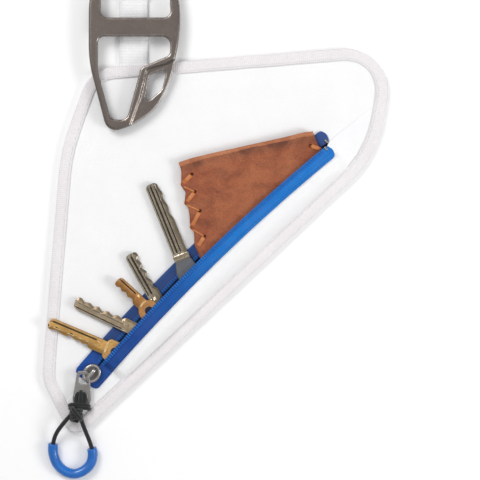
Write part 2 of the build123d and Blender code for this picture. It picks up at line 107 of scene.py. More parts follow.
def rounded_outline(corners, radii, step=2.0):
    """Points round a closed outline whose corners are arcs, about one step apart."""
    runs = []
    count = len(corners)
    for i, radius in enumerate(radii):
        before, here, after = (Vector(corners[(i + k) % count]) for k in (-1, 0, 1))
        back, ahead = (before - here).normalized(), (after - here).normalized()
        half = back.angle(ahead) / 2
        centre = here + (back + ahead).normalized() * (radius / sin(half))
        start = here + back * (radius / (sin(half) / cos(half)))
        end = here + ahead * (radius / (sin(half) / cos(half)))
        runs.append((start, end, centre, radius, pi - 2 * half))
    points = []
    for i, (start, end, centre, radius, turn) in enumerate(runs):
        pieces = max(3, int(radius * turn / step))
        first = start - centre
        side = 1 if first.x * (end - centre).y - first.y * (end - centre).x > 0 else -1
        for k in range(pieces):
            angle = side * turn * k / pieces
            points.append(centre + Vector((first.x * cos(angle) - first.y * sin(angle),
                                           first.x * sin(angle) + first.y * cos(angle))))
        following = runs[(i + 1) % count][0]
        straight = max(1, int((following - end).length / step))
        points += [end.lerp(following, k / straight) for k in range(straight)]
    return points


def inward(points):
    """The inward direction at each point of a closed outline that runs anticlockwise."""
    count = len(points)
    normals = []
    for i in range(count):
        along = (points[(i + 1) % count] - points[i - 1]).normalized()
        normals.append(Vector((-along.y, along.x)))
    return normals


def inset(points, distance):
    return [p + n * distance for p, n in zip(points, inward(points))]


pouch_edge = rounded_outline(POUCH_CORNERS, POUCH_RADII)
zip_centre = Vector(ZIP_CROWN) - ZIP_RADIUS * Vector((cos(ZIP_NORMAL), sin(ZIP_NORMAL)))


def zip_point(s, drop=0.0):
    """The point s along the zip's mouth edge from its crown, and drop below it."""
    angle = ZIP_NORMAL - s / ZIP_RADIUS
    return zip_centre + (ZIP_RADIUS - drop) * Vector((cos(angle), sin(angle)))


def zip_turn(s):
    """The heading of the zip at s, as an angle about the drawing's z."""
    return ZIP_NORMAL - s / ZIP_RADIUS - pi / 2


def zip_frame(x, y):
    """(s, drop) of a point of the drawing."""
    offset = Vector((x, y)) - zip_centre
    return (ZIP_NORMAL - atan2(offset.y, offset.x)) * ZIP_RADIUS, ZIP_RADIUS - offset.length


def chord(s, outline):
    """The drops at which the line across the zip at s enters and leaves a closed outline."""
    start = zip_point(s)
    direction = (zip_centre - start).normalized()
    drops = []
    for a, b in zip(outline, outline[1:] + outline[:1]):
        edge, to_a = b - a, a - start
        cross = direction.x * edge.y - direction.y * edge.x
        if abs(cross) > 1e-9 and -1e-9 <= (to_a.x * direction.y - to_a.y * direction.x) / cross < 1:
            drops.append((to_a.x * edge.y - to_a.y * edge.x) / cross)
    return min(drops), max(drops)


# ---- making pieces ----------------------------------------------------------------------------------
def placed_object(name, data):
    """A new object in the scene."""
    obj = bpy.data.objects.new(name, data)
    bpy.context.collection.objects.link(obj)
    return obj


def piece(name, verts, faces, material, body, uvs=None, soft=True, around=(0.0, 0.0)):
    """A mesh piece from points in the frame; uvs are one (u, v) for each point, in metres.
    around is the distance round a closed piece along u and v, so that its pattern joins up."""
    mesh = bpy.data.meshes.new(name)
    mesh.from_pydata([tuple(v) for v in verts], [], faces)
    if uvs:
        layer = mesh.uv_layers.new(name="UVMap")
        for face in mesh.polygons:
            corners = [list(uvs[k]) for k in face.vertices]
            for axis in (0, 1):
                values = [c[axis] for c in corners]
                if around[axis] and max(values) - min(values) > around[axis] / 2:
                    for c in corners:
                        c[axis] += around[axis] if c[axis] < around[axis] / 2 else 0.0
            for loop, corner in zip(face.loop_indices, corners):
                layer.data[loop].uv = corner
    mesh.polygons.foreach_set("use_smooth", [soft] * len(mesh.polygons))
    mesh.materials.append(material)
    obj = placed_object(name, mesh)
    outward(obj)
    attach(obj, body)
    return obj


def outward(obj):
    """Turns every face of a mesh outwards."""
    work = bmesh.new()
    work.from_mesh(obj.data)
    bmesh.ops.recalc_face_normals(work, faces=work.faces)
    work.to_mesh(obj.data)
    work.free()


def grid_faces(rows, columns, wrap_rows=False, wrap_columns=False, start=0):
    """Quads between the points of a grid that is stored row by row."""
    faces = []
    for i in range(rows if wrap_rows else rows - 1):
        for j in range(columns if wrap_columns else columns - 1):
            i2, j2 = (i + 1) % rows, (j + 1) % columns
            faces.append((start + i * columns + j, start + i * columns + j2,
                          start + i2 * columns + j2, start + i2 * columns + j))
    return faces


def thick_grid(name, rows, columns, point, thickness, material, body, uv=None):
    """A closed sheet: point(i, j) gives the middle surface, and it gets half its thickness each way."""
    middle = [[point(i, j) for j in range(columns)] for i in range(rows)]
    verts, uvs = [], []
    for side in (1, -1):
        for i in range(rows):
            for j in range(columns):
                across = middle[i][min(j + 1, columns - 1)] - middle[i][max(j - 1, 0)]
                along = middle[min(i + 1, rows - 1)][j] - middle[max(i - 1, 0)][j]
                normal = along.cross(across).normalized()
                verts.append(middle[i][j] + normal * (side * thickness * MM / 2))
                uvs.append(uv(i, j) if uv else (verts[-1].x, verts[-1].y))
    size = rows * columns
    faces = grid_faces(rows, columns)
    faces += [tuple(reversed([size + k for k in face])) for face in grid_faces(rows, columns)]
    rim = list(range(columns)) + [i * columns + columns - 1 for i in range(1, rows)]
    rim += [(rows - 1) * columns + j for j in range(columns - 2, -1, -1)]
    rim += [i * columns for i in range(rows - 2, 0, -1)]
    for a, b in zip(rim, rim[1:] + rim[:1]):
        faces.append((a, b, size + b, size + a))
    return piece(name, verts, faces, material, body, uvs)


def swept(name, path, profile, material, body, closed=False):
    """A profile carried along a path of (centre, side, up) in millimetres of the drawing."""
    rows, columns = len(path), len(profile)
    girth = [0.0]
    for j in range(columns):
        (a0, b0), (a1, b1) = profile[j], profile[(j + 1) % columns]
        girth.append(girth[-1] + hypot(a1 - a0, b1 - b0))
    verts, uvs = [], []
    run = 0.0
    for i, (centre, side, up) in enumerate(path):
        if i:
            run += (centre - path[i - 1][0]).length
        for j, (a, b) in enumerate(profile):
            p = centre + side * a + up * b
            verts.append(at(p.x, p.y, p.z))
            uvs.append((run * MM, girth[j] * MM))
    faces = grid_faces(rows, columns, wrap_rows=closed, wrap_columns=True)
    if not closed:
        faces.append(tuple(range(columns)))
        faces.append(tuple(range((rows - 1) * columns, rows * columns)))
    else:
        run += (path[0][0] - path[-1][0]).length
    return piece(name, verts, faces, material, body, uvs,
                 around=(run * MM if closed else 0.0, girth[-1] * MM))


def oval_profile(wide, high, sides):
    return [(wide * cos(2 * pi * k / sides), high * sin(2 * pi * k / sides)) for k in range(sides)]


def path_frames(points, closed=False):
    """(centre, side, up) along points, turning as little as it can from one to the next."""
    frames = []
    up = Vector((0, 0, 1))
    count = len(points)
    for i, p in enumerate(points):
        if closed:
            along = points[(i + 1) % count] - points[i - 1]
        else:
            along = direction(points, i)
        along.normalize()
        side = along.cross(up)
        if side.length < 0.05:
            side = frames[-1][1].copy() if frames else Vector((1, 0, 0))
        side.normalize()
        frames.append((p, side, side.cross(along).normalized()))
    return frames


def softened(node, material, body, width):
    """A copy of a hard CAD piece with its edges eased, standing for it."""
    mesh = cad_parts[node].data.copy()
    work = bmesh.new()
    work.from_mesh(mesh)
    bmesh.ops.remove_doubles(work, verts=work.verts, dist=1e-6)
    bmesh.ops.dissolve_limit(work, angle_limit=radians(1.0), verts=work.verts, edges=work.edges)
    work.to_mesh(mesh)
    work.free()
    mesh.materials.clear()
    mesh.materials.append(material)
    obj = placed_object(node + "_eased", mesh)
    bevel = obj.modifiers.new("eased edges", "BEVEL")
    bevel.width = width * MM
    bevel.segments = 2
    bevel.limit_method = "ANGLE"
    bevel.angle_limit = radians(32)
    bevel.harden_normals = False
    bevel.use_clamp_overlap = True
    mesh.polygons.foreach_set("use_smooth", [True] * len(mesh.polygons))
    weighted = obj.modifiers.new("flat faces stay flat", "WEIGHTED_NORMAL")
    weighted.keep_sharp = True
    bake_modifiers(obj)
    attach(obj, body)
    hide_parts(node)
    return obj


def inside_by(p, outline):
    """How far a point is inside a closed outline, and below 0 outside it."""
    nearest, crossings = 1e9, 0
    for a, b in zip(outline, outline[1:] + outline[:1]):
        edge = b - a
        share = min(1.0, max(0.0, (p - a).dot(edge) / edge.length_squared))
        nearest = min(nearest, (p - a - edge * share).length)
        if (a.y > p.y) != (b.y > p.y) and p.x < a.x + (p.y - a.y) / edge.y * edge.x:
            crossings += 1
    return nearest if crossings % 2 else -nearest


def forged(node, material, body, grain=0.32, rounds=8, pressed=None):
    """A copy of a CAD piece with the soft, full edges of a forging, standing for it.
    pressed is (outline, middle height, half thickness) of a thinner web in it."""
    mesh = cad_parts[node].data.copy()
    mesh.materials.clear()
    mesh.materials.append(material)
    obj = placed_object(node + "_forged", mesh)
    closed = obj.modifiers.new("one skin", "REMESH")
    closed.mode = "VOXEL"
    closed.voxel_size = grain * MM
    closed.use_smooth_shade = True
    bake_modifiers(obj)
    if pressed:
        outline, level, half = [Vector(p) for p in pressed[0]], pressed[1], pressed[2]
        for vertex in obj.data.vertices:
            p = drawn(vertex.co)
            depth = smooth(inside_by(p.to_2d(), outline) / 0.5)
            away = p.z - level
            limit = half + (FRAME_HALF - half) * (1 - depth)
            vertex.co.z = (level + max(-limit, min(limit, away))) * MM
    eased = obj.modifiers.new("worn smooth", "SMOOTH")
    eased.factor, eased.iterations = 0.5, rounds
    bake_modifiers(obj)
    obj.data.materials.clear()
    obj.data.materials.append(material)
    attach(obj, body)
    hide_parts(node)
    return obj


def bake_modifiers(obj):
    """The piece's evaluated mesh takes the place of its modifiers."""
    view = bpy.context.evaluated_depsgraph_get()
    mesh = bpy.data.meshes.new_from_object(obj.evaluated_get(view), depsgraph=view)
    mesh.name = obj.name
    obj.modifiers.clear()
    obj.data = mesh


# ---- shader node groups: effects that several materials share ---------------------------------------
class Wiring:
    """Adds nodes to one tree. Inputs are numbers, colours or other nodes' outputs."""

    def __init__(self, tree):
        self.tree = tree

    def node(self, kind, inputs=(), **settings):
        node = self.tree.nodes.new(kind)
        for key, value in settings.items():
            setattr(node, key, value)
        for key, value in dict(inputs).items():
            self.feed(node.inputs[key], value)
        return node

    def feed(self, socket, value):
        if isinstance(value, bpy.types.NodeSocket):
            self.tree.links.new(value, socket)
        else:
            socket.default_value = value

    def math(self, operation, a, b=0.0, clamp=False):
        return self.node("ShaderNodeMath", {0: a, 1: b}, operation=operation, use_clamp=clamp).outputs[0]

    def scaled(self, a, b, c):
        """a * b + c."""
        return self.node("ShaderNodeMath", {0: a, 1: b, 2: c}, operation="MULTIPLY_ADD").outputs[0]

    def blend(self, share, a, b):
        """A colour between a and b."""
        return self.node("ShaderNodeMix", {0: share, 6: a, 7: b}, data_type="RGBA").outputs[2]

    def between(self, share, a, b):
        """A number between a and b."""
        return self.node("ShaderNodeMix", {0: share, 2: a, 3: b}, data_type="FLOAT").outputs[0]

    def span(self, value, low, high, to_low=0.0, to_high=1.0):
        """value from low..high to to_low..to_high, eased at both ends."""
        return self.node("ShaderNodeMapRange", {0: value, 1: low, 2: high, 3: to_low, 4: to_high},
                         interpolation_type="SMOOTHSTEP").outputs[0]

    def noise(self, vector, scale, detail=3.0, roughness=0.55, distortion=0.0):
        return self.node("ShaderNodeTexNoise", {
            "Vector": vector, "Scale": scale, "Detail": detail, "Roughness": roughness,
            "Distortion": distortion}).outputs["Fac"]

    def stretched(self, vector, size, turn=0.0):
        return self.node("ShaderNodeMapping", {"Vector": vector, "Scale": size,
                                               "Rotation": (0, 0, turn)}).outputs[0]

    def bump(self, height, depth, strength=1.0):
        """A normal from a height of 0..1, depth metres deep."""
        return self.node("ShaderNodeBump", {"Height": height, "Distance": depth,
                                            "Strength": strength}).outputs[0]


def effect(name, inputs, outputs):
    """A node group with named sockets; returns its wiring, and its input and output nodes."""
    group = bpy.data.node_groups.new(name, "ShaderNodeTree")
    for key, kind, value in inputs:
        socket = group.interface.new_socket(key, in_out="INPUT", socket_type="NodeSocket" + kind)
        if value is not None:
            socket.default_value = value
    for key, kind in outputs:
        group.interface.new_socket(key, in_out="OUTPUT", socket_type="NodeSocket" + kind)
    wires = Wiring(group)
    return wires, wires.node("NodeGroupInput").outputs, wires.node("NodeGroupOutput").inputs


def make_weave():
    """Over-and-under threads: Height of the cloth, and a Shade that differs from thread to thread."""
    w, given, out = effect("Woven threads", [("Vector", "Vector", None), ("Across", "Float", 2000.0),
                                             ("Along", "Float", 2000.0), ("Rib", "Float", 0.0)],
                           [("Height", "Float"), ("Shade", "Float")])
    parts = w.node("ShaderNodeSeparateXYZ", {0: given["Vector"]}).outputs
    u = w.math("MULTIPLY", parts[0], given["Along"])
    v = w.math("MULTIPLY", parts[1], given["Across"])
    cell = w.math("ADD", w.math("FLOOR", u), w.math("FLOOR", v))
    over = w.math("PINGPONG", cell, 1.0)
    round_u = w.math("ABSOLUTE", w.math("SINE", w.math("MULTIPLY", u, pi)))
    round_v = w.math("ABSOLUTE", w.math("SINE", w.math("MULTIPLY", v, pi)))
    warp = w.math("MULTIPLY", round_v, w.scaled(round_u, 0.5, 0.5))
    weft = w.math("MULTIPLY", round_u, w.scaled(round_v, 0.5, 0.5))
    plain = w.between(over, warp, weft)
    w.feed(out["Height"], w.between(given["Rib"], plain, round_u))
    joined = w.node("ShaderNodeCombineXYZ", {0: w.math("FLOOR", u), 1: w.math("FLOOR", v),
                                             2: over}).outputs[0]
    speckle = w.node("ShaderNodeTexWhiteNoise", {"Vector": joined}).outputs["Value"]
    w.feed(out["Shade"], speckle)
    return w.tree


def make_grain():
    """Leather: Height of the grain, Creases between its pebbles, and Blotches of wear."""
    w, given, out = effect("Leather grain", [("Vector", "Vector", None), ("Scale", "Float", 900.0)],
                           [("Height", "Float"), ("Creases", "Float"), ("Blotches", "Float")])
    bend = w.noise(given["Vector"], w.math("MULTIPLY", given["Scale"], 0.25), 3.0)
    moved = w.node("ShaderNodeVectorMath", {0: given["Vector"]}, operation="ADD")
    w.feed(moved.inputs[1], w.node("ShaderNodeVectorMath", {0: w.node(
        "ShaderNodeCombineXYZ", {0: bend, 1: bend, 2: 0.0}).outputs[0], "Scale": 0.0012},
        operation="SCALE").outputs[0])
    pebble = w.node("ShaderNodeTexVoronoi", {"Vector": moved.outputs[0], "Scale": given["Scale"]},
                    feature="DISTANCE_TO_EDGE").outputs["Distance"]
    crease = w.span(pebble, 0.0, 0.16, 1.0, 0.0)
    fine = w.noise(given["Vector"], w.math("MULTIPLY", given["Scale"], 3.0), 4.0, 0.65)
    w.feed(out["Height"], w.math("ADD", w.math("MULTIPLY", w.math("SUBTRACT", 1.0, crease), 0.6),
                                 w.math("MULTIPLY", fine, 0.5)))
    w.feed(out["Creases"], crease)
    broad = w.noise(given["Vector"], w.math("MULTIPLY", given["Scale"], 0.09), 5.0, 0.62, 0.6)
    w.feed(out["Blotches"], w.span(broad, 0.3, 0.7))
    return w.tree


def make_edge_wear_and_highlight():
    """Worn: 1 where an edge has been rubbed, broken up by noise; on metal it also paints highlights along the
    edges.
    """
    w, given, out = effect("Edge wear", [("Vector", "Vector", None), ("Radius", "Float", 0.0003),
                                         ("Reach", "Float", 0.1)], [("Worn", "Float")])
    eased = w.node("ShaderNodeBevel", {"Radius": given["Radius"]}, samples=6).outputs[0]
    true = w.node("ShaderNodeNewGeometry").outputs["Normal"]
    turn = w.node("ShaderNodeVectorMath", {0: eased, 1: true}, operation="DOT_PRODUCT").outputs["Value"]
    edge = w.span(w.math("SUBTRACT", 1.0, turn), 0.0, given["Reach"])
    patchy = w.span(w.noise(given["Vector"], 700.0, 5.0, 0.7), 0.32, 0.6)
    w.feed(out["Worn"], w.math("MULTIPLY", edge, w.scaled(patchy, 0.55, 0.45)))
    return w.tree


def make_scuffs():
    """Fine scratches both ways, as a Mask, and soft Smudges, for handled metal and plastic."""
    w, given, out = effect("Scuffs", [("Vector", "Vector", None), ("Scale", "Float", 1.0)],
                           [("Mask", "Float"), ("Smudges", "Float")])
    sized = w.node("ShaderNodeVectorMath", {0: given["Vector"], "Scale": given["Scale"]},
                   operation="SCALE").outputs[0]
    lines = []
    for turn in (0.5, -0.9, 1.7):
        streak = w.noise(w.stretched(sized, (160, 9000, 4000), turn), 1.0, 2.0, 0.5)
        lines.append(w.span(streak, 0.66, 0.72))
    w.feed(out["Mask"], w.math("MAXIMUM", lines[0], w.math("MAXIMUM", lines[1], lines[2])))
    w.feed(out["Smudges"], w.span(w.noise(sized, 160.0, 5.0, 0.6), 0.32, 0.68))
    return w.tree


def make_dust():
    """Amount of dust and lint caught in cloth: soft patches with a few specks."""
    w, given, out = effect("Dust", [("Vector", "Vector", None)], [("Amount", "Float")])
    soft = w.span(w.noise(given["Vector"], 55.0, 5.0, 0.6), 0.42, 0.75)
    speck = w.node("ShaderNodeTexVoronoi", {"Vector": given["Vector"], "Scale": 420.0}).outputs["Distance"]
    w.feed(out["Amount"], w.math("ADD", w.math("MULTIPLY", soft, 0.7), w.span(speck, 0.0, 0.12, 0.5, 0.0),
                                 clamp=True))
    return w.tree


WEAVE = make_weave()
GRAIN = make_grain()
EDGE_WEAR_AND_HIGHLIGHT = make_edge_wear_and_highlight()
SCUFFS = make_scuffs()
DUST = make_dust()


# ---- materials --------------------------------------------------------------------------------------
def tint(red, green, blue):
    """A colour given as 0..255 display values."""
    return tuple((c / 255 / 12.92) if c <= 10 else ((c / 255 + 0.055) / 1.055) ** 2.4
                 for c in (red, green, blue)) + (1.0,)


def start_material(name, **sockets):
    """A Principled material; sockets are its plain values, such as Sheen_Weight=0.3."""
    made = bpy.data.materials.new(name)
    made.use_nodes = True
    made.node_tree.nodes.clear()
    w = Wiring(made.node_tree)
    shader = w.node("ShaderNodeBsdfPrincipled")
    for key, value in sockets.items():
        shader.inputs[key.replace("_", " ")].default_value = value
    w.node("ShaderNodeOutputMaterial", {"Surface": shader.outputs[0]})
    where = w.node("ShaderNodeTexCoord").outputs
    return made, w, shader.inputs, where


def placed(w, group, **values):
    """A shared effect in a material; values are its inputs."""
    return w.node("ShaderNodeGroup", node_tree=group, inputs=values).outputs


def cloth(name, colour, shade, threads, depth, rough=0.85, sheen=0.25, rib=0.0, dirt=None, patches=0.25):
    """Woven cloth on a UV map in metres: threads a metre (along, across) and the weave's depth in metres."""
    made, w, shader, where = start_material(name, Sheen_Weight=sheen, Sheen_Roughness=0.5,
                                            Specular_IOR_Level=0.25)
    weave = placed(w, WEAVE, Vector=where["UV"], Along=threads[0], Across=threads[1], Rib=rib)
    dust = placed(w, DUST, Vector=where["Object"])["Amount"]
    broad = w.span(w.noise(where["Object"], 38.0, 4.0), 0.3, 0.7)
    thread = w.blend(w.scaled(weave["Shade"], 0.35, 0.0), colour, shade)
    # painted shade in the weave's hollows, towards the darker colour
    valley = w.blend(w.scaled(weave["Height"], -0.6, 0.6), thread, shade)
    aged = w.blend(w.math("MULTIPLY", broad, patches), valley, shade)
    w.feed(shader["Base Color"], w.blend(w.math("MULTIPLY", dust, 0.3), aged, dirt or shade))
    w.feed(shader["Roughness"], w.scaled(weave["Height"], -0.12, rough + 0.06))
    w.feed(shader["Normal"], w.bump(weave["Height"], depth))
    return made


def metal(name, colour, worn_and_highlight_colour, rough, tarnish, satin=0.0, reach=0.08, radius=0.00035, scratch=0.25):
    """Handled metal: smudges, scratches, bright edges that are rubbed wear and painted highlight; satin is
    the depth of a blasted finish.
    """
    made, w, shader, where = start_material(name)
    scuffs = placed(w, SCUFFS, Vector=where["Object"])
    worn = placed(w, EDGE_WEAR_AND_HIGHLIGHT, Vector=where["Object"], Radius=radius, Reach=reach)["Worn"]
    base = w.blend(w.math("MULTIPLY", scuffs["Smudges"], 0.55), colour, tarnish)
    marked = w.blend(w.math("MULTIPLY", scuffs["Mask"], scratch), base, worn_and_highlight_colour)
    # painted shade: brown-black where the recess attribute marks key grooves and the slider's face under its
    # bail
    recess = w.node("ShaderNodeAttribute", attribute_name="recess").outputs["Fac"]
    shade_in_recesses = w.blend(w.math("MULTIPLY", recess, 0.85), w.blend(worn, marked, worn_and_highlight_colour), tint(34, 28, 22))
    w.feed(shader["Base Color"], shade_in_recesses)
    w.feed(shader["Metallic"], w.scaled(scuffs["Smudges"], -0.06, 1.0))
    uneven = w.scaled(scuffs["Smudges"], 0.12, rough - 0.04)
    w.feed(shader["Roughness"], w.math("SUBTRACT", uneven, w.scaled(worn, 0.1, 0.0)))
    fine = w.noise(where["Object"], 5200.0, 2.0, 0.6)
    height = w.scaled(fine, satin, w.scaled(scuffs["Mask"], -0.25, 0.25))
    w.feed(shader["Normal"], w.bump(height, 0.00004, 0.8))
    return made


def leather(name, colour, dark, worn, scale=900.0, depth=0.00012):
    """Waxed hide: grain, dark creases, lighter rubbed blotches, a dull shine and a painted shade band below
    the case's rim.
    """
    made, w, shader, where = start_material(name, Coat_Weight=0.12, Coat_Roughness=0.4,
                                            Specular_IOR_Level=0.4)
    grain = placed(w, GRAIN, Vector=where["Object"], Scale=scale)
    edge = placed(w, EDGE_WEAR_AND_HIGHLIGHT, Vector=where["Object"], Radius=0.0007, Reach=0.25)["Worn"]
    streaks = w.span(w.noise(w.stretched(where["Object"], (90, 260, 90), 0.35), 1.0, 6.0, 0.7), 0.35, 0.7)
    # painted shade: the attribute darkens a band of the case's leather just below its rolled rim
    band = w.node("ShaderNodeAttribute", attribute_name="burnish").outputs["Fac"]
    stains_and_rim_shade = w.math("MAXIMUM", w.math("MULTIPLY", streaks, 0.5), w.scaled(band, 0.9, 0.0))
    stained = w.blend(stains_and_rim_shade, colour, dark)
    rubbed = w.blend(w.math("MULTIPLY", grain["Blotches"], 0.6), stained, worn)
    creased = w.blend(w.math("MULTIPLY", grain["Creases"], 0.35), rubbed, dark)
    speck = w.span(w.noise(where["Object"], 1500.0, 2.0, 0.5), 0.68, 0.74)
    w.feed(shader["Base Color"], w.blend(w.math("MAXIMUM", w.math("MULTIPLY", speck, 0.4), w.math(
        "MULTIPLY", edge, 0.5)), creased, worn))
    w.feed(shader["Roughness"], w.scaled(grain["Blotches"], -0.14, 0.56))
    w.feed(shader["Normal"], w.bump(grain["Height"], depth, 0.7))
    return made


def braid(name, colour, shade, strands, depth):
    """Braided cord on a UV map with u along it and v round it.
    strands is (turns, strands) for each unit of u and v: the whole of a curve, or metres on a mesh."""
    made, w, shader, where = start_material(name, Sheen_Weight=0.3, Specular_IOR_Level=0.3)
    u, v, _ = w.node("ShaderNodeSeparateXYZ", {0: where["UV"]}).outputs
    along = w.math("MULTIPLY", u, strands[0])
    one = w.math("ABSOLUTE", w.math("SINE", w.math("MULTIPLY", w.scaled(v, strands[1], along), pi)))
    other = w.math("ABSOLUTE", w.math("SINE", w.math("MULTIPLY", w.math(
        "SUBTRACT", w.math("MULTIPLY", v, strands[1]), along), pi)))
    height = w.math("MAXIMUM", one, other)
    fuzz = w.noise(where["Object"], 4200.0, 3.0, 0.7)
    w.feed(shader["Base Color"], w.blend(w.scaled(w.math("MULTIPLY", one, other), 0.9, 0.05), shade, colour))
    w.feed(shader["Roughness"], w.scaled(fuzz, 0.3, 0.62))
    w.feed(shader["Normal"], w.bump(w.scaled(fuzz, 0.25, height), depth))
    return made


def plastic(name, colour, shade, rough, coat=0.0):
    """Moulded plastic: a slight orange-peel surface, smudges and rubbed edges."""
    made, w, shader, where = start_material(name, Coat_Weight=coat, Coat_Roughness=0.12)
    scuffs = placed(w, SCUFFS, Vector=where["Object"])
    worn = placed(w, EDGE_WEAR_AND_HIGHLIGHT, Vector=where["Object"], Radius=0.0003, Reach=0.2)["Worn"]
    base = w.blend(w.math("MULTIPLY", scuffs["Smudges"], 0.5), colour, shade)
    pale = w.blend(0.35, colour, (1.0, 1.0, 1.0, 1.0))
    w.feed(shader["Base Color"], w.blend(w.math("MAXIMUM", w.math("MULTIPLY", worn, 0.35), w.math(
        "MULTIPLY", scuffs["Mask"], 0.12)), base, pale))
    w.feed(shader["Roughness"], w.scaled(scuffs["Smudges"], 0.14, rough))
    peel = w.noise(where["Object"], 1400.0, 2.0, 0.5)
    w.feed(shader["Normal"], w.bump(w.scaled(scuffs["Mask"], -0.3, peel), 0.00002))
    return made


def zip_cloth(name, bright, deep, shade_span=(-0.055, 0.04)):
    """Zip tape with a tight weave, and painted shade from deep to bright over a stretch of its length."""
    made, w, shader, where = start_material(name, Sheen_Weight=0.03, Sheen_Roughness=0.4,
                                            Specular_IOR_Level=0.3)
    weave = placed(w, WEAVE, Vector=where["UV"], Along=2300.0, Across=2300.0, Rib=0.35)
    dust = placed(w, DUST, Vector=where["Object"])["Amount"]
    along = w.node("ShaderNodeSeparateXYZ", {0: where["UV"]}).outputs[0]
    # painted shade: the tape darkens towards one end, where less light falls on it
    painted_shade = w.span(w.scaled(w.noise(where["Object"], 60.0, 3.0), 0.03, along), *shade_span, 1.0, 0.0)
    body = w.blend(painted_shade, bright, deep)
    # painted shade in the weave's hollows, towards the deep colour
    thread = w.blend(w.scaled(weave["Height"], -0.35, 0.4), body, deep)
    streaks = w.noise(w.stretched(where["UV"], (40, 900, 1)), 1.0, 3.0, 0.6)
    varied = w.blend(w.span(streaks, 0.45, 0.75, 0.0, 0.35), thread, deep)
    w.feed(shader["Base Color"], w.blend(w.math("MULTIPLY", dust, 0.05), varied, tint(190, 205, 225)))
    w.feed(shader["Roughness"], w.scaled(weave["Height"], -0.1, 0.72))
    w.feed(shader["Normal"], w.bump(weave["Height"], 0.00007))
    return made


MATERIAL = {
    "binding": cloth("binding", tint(242, 240, 241), tint(222, 216, 219), (900, 1500), 0.00012, rib=0.45,
                     sheen=0.1, dirt=tint(224, 214, 217)),
    "panel": cloth("panel", tint(250, 250, 250), tint(236, 236, 238), (2600, 2600), 0.00005, sheen=0.1),
    # the lining's dark grey navy is painted shade inside the pouch's mouth
    "lining": cloth("lining", tint(52, 72, 120), tint(24, 36, 74), (2200, 2200), 0.00008, sheen=0.3),
    "webbing": cloth("webbing", tint(250, 250, 250), tint(232, 232, 234), (620, 1250), 0.00014, rib=0.25,
                     dirt=tint(236, 232, 228)),
    "thread": cloth("thread", tint(246, 246, 244), tint(214, 214, 216), (5200, 1500), 0.0001, rib=1.0),
    "zip_tape": zip_cloth("zip tape", tint(2, 122, 208), tint(14, 66, 142)),
    # the inner tape's grey navy is painted shade, as it lies in shadow under the upper panel; it turns
    # saturated blue at its lower-left end
    "zip_tape_inner_shaded": zip_cloth("zip tape, inner half", tint(56, 78, 128), tint(14, 74, 158),
                                (-0.08, -0.06)),
    "zip_thread": cloth("zip thread", tint(10, 104, 184), tint(10, 70, 140), (5200, 1500), 0.00008, rib=1.0),
    "zip_teeth": plastic("zip teeth", tint(10, 106, 190), tint(10, 74, 150), 0.36),
    "zip_metal": metal("zip metal", tint(178, 175, 172), tint(232, 230, 228), 0.17,
                       tarnish=tint(104, 98, 94)),
    "pull_metal": metal("pull metal", tint(168, 165, 162), tint(220, 218, 214), 0.42, satin=0.5,
                        tarnish=tint(122, 118, 114)),
    "cord": braid("cord", tint(40, 41, 43), tint(9, 9, 10), (46, 8), 0.00022),
    "wrapped": braid("wrapped cord", tint(40, 41, 43), tint(9, 9, 10), (530, 1060), 0.00022),
    "grip": plastic("grip", tint(8, 104, 190), tint(6, 84, 162), 0.26, coat=0.35),
    "key_brass": metal("key brass", tint(206, 162, 98), tint(240, 214, 168), 0.3, satin=0.15,
                       tarnish=tint(156, 112, 58), scratch=0.12),
    "key_nickel": metal("key nickel", tint(164, 146, 120), tint(224, 214, 198), 0.28, satin=0.15,
                        tarnish=tint(122, 104, 80), scratch=0.12),
    "key_bronze": metal("key bronze", tint(196, 144, 90), tint(230, 194, 148), 0.32, satin=0.15,
                        tarnish=tint(140, 94, 52), scratch=0.12),
    "key_dark": metal("key dark", tint(142, 130, 112), tint(214, 206, 190), 0.26, satin=0.15,
                      tarnish=tint(88, 78, 64), scratch=0.12),
    "key_plastic": plastic("key plastic", tint(98, 100, 106), tint(62, 64, 70), 0.42),
    "leather": leather("leather", tint(150, 74, 38), tint(78, 36, 18), tint(184, 108, 64)),
    # a lighter copy of the leather: painted highlight on the case's rolled rim
    "leather_rim_painted_highlight": leather("leather rim", tint(172, 100, 60), tint(120, 62, 36), tint(206, 138, 98)),
    "lace": leather("lace", tint(196, 112, 54), tint(140, 70, 28), tint(222, 150, 92), 1600.0, 0.00008),
    # the clip's wide, strong bright edges are painted highlight along its rounded edges, besides edge wear
    "clip_metal": metal("clip metal", tint(110, 101, 96), tint(214, 208, 202), 0.29, satin=0.5,
                        tarnish=tint(94, 86, 81), reach=0.045, radius=0.0013, scratch=0.06),
    "steel": metal("steel", tint(190, 190, 190), tint(235, 235, 235), 0.22, tarnish=tint(140, 138, 136)),
    "plate": metal("plate", tint(58, 62, 74), tint(120, 122, 130), 0.45, tarnish=tint(38, 42, 54)),
}


# ---- pouch ------------------------------------------------------------------------------------------
def ripple(x, y, size=30.0, seed=0.0):
    """A soft, repeatable unevenness of -1..1."""
    return noise.noise(Vector((x / size, y / size, seed)))


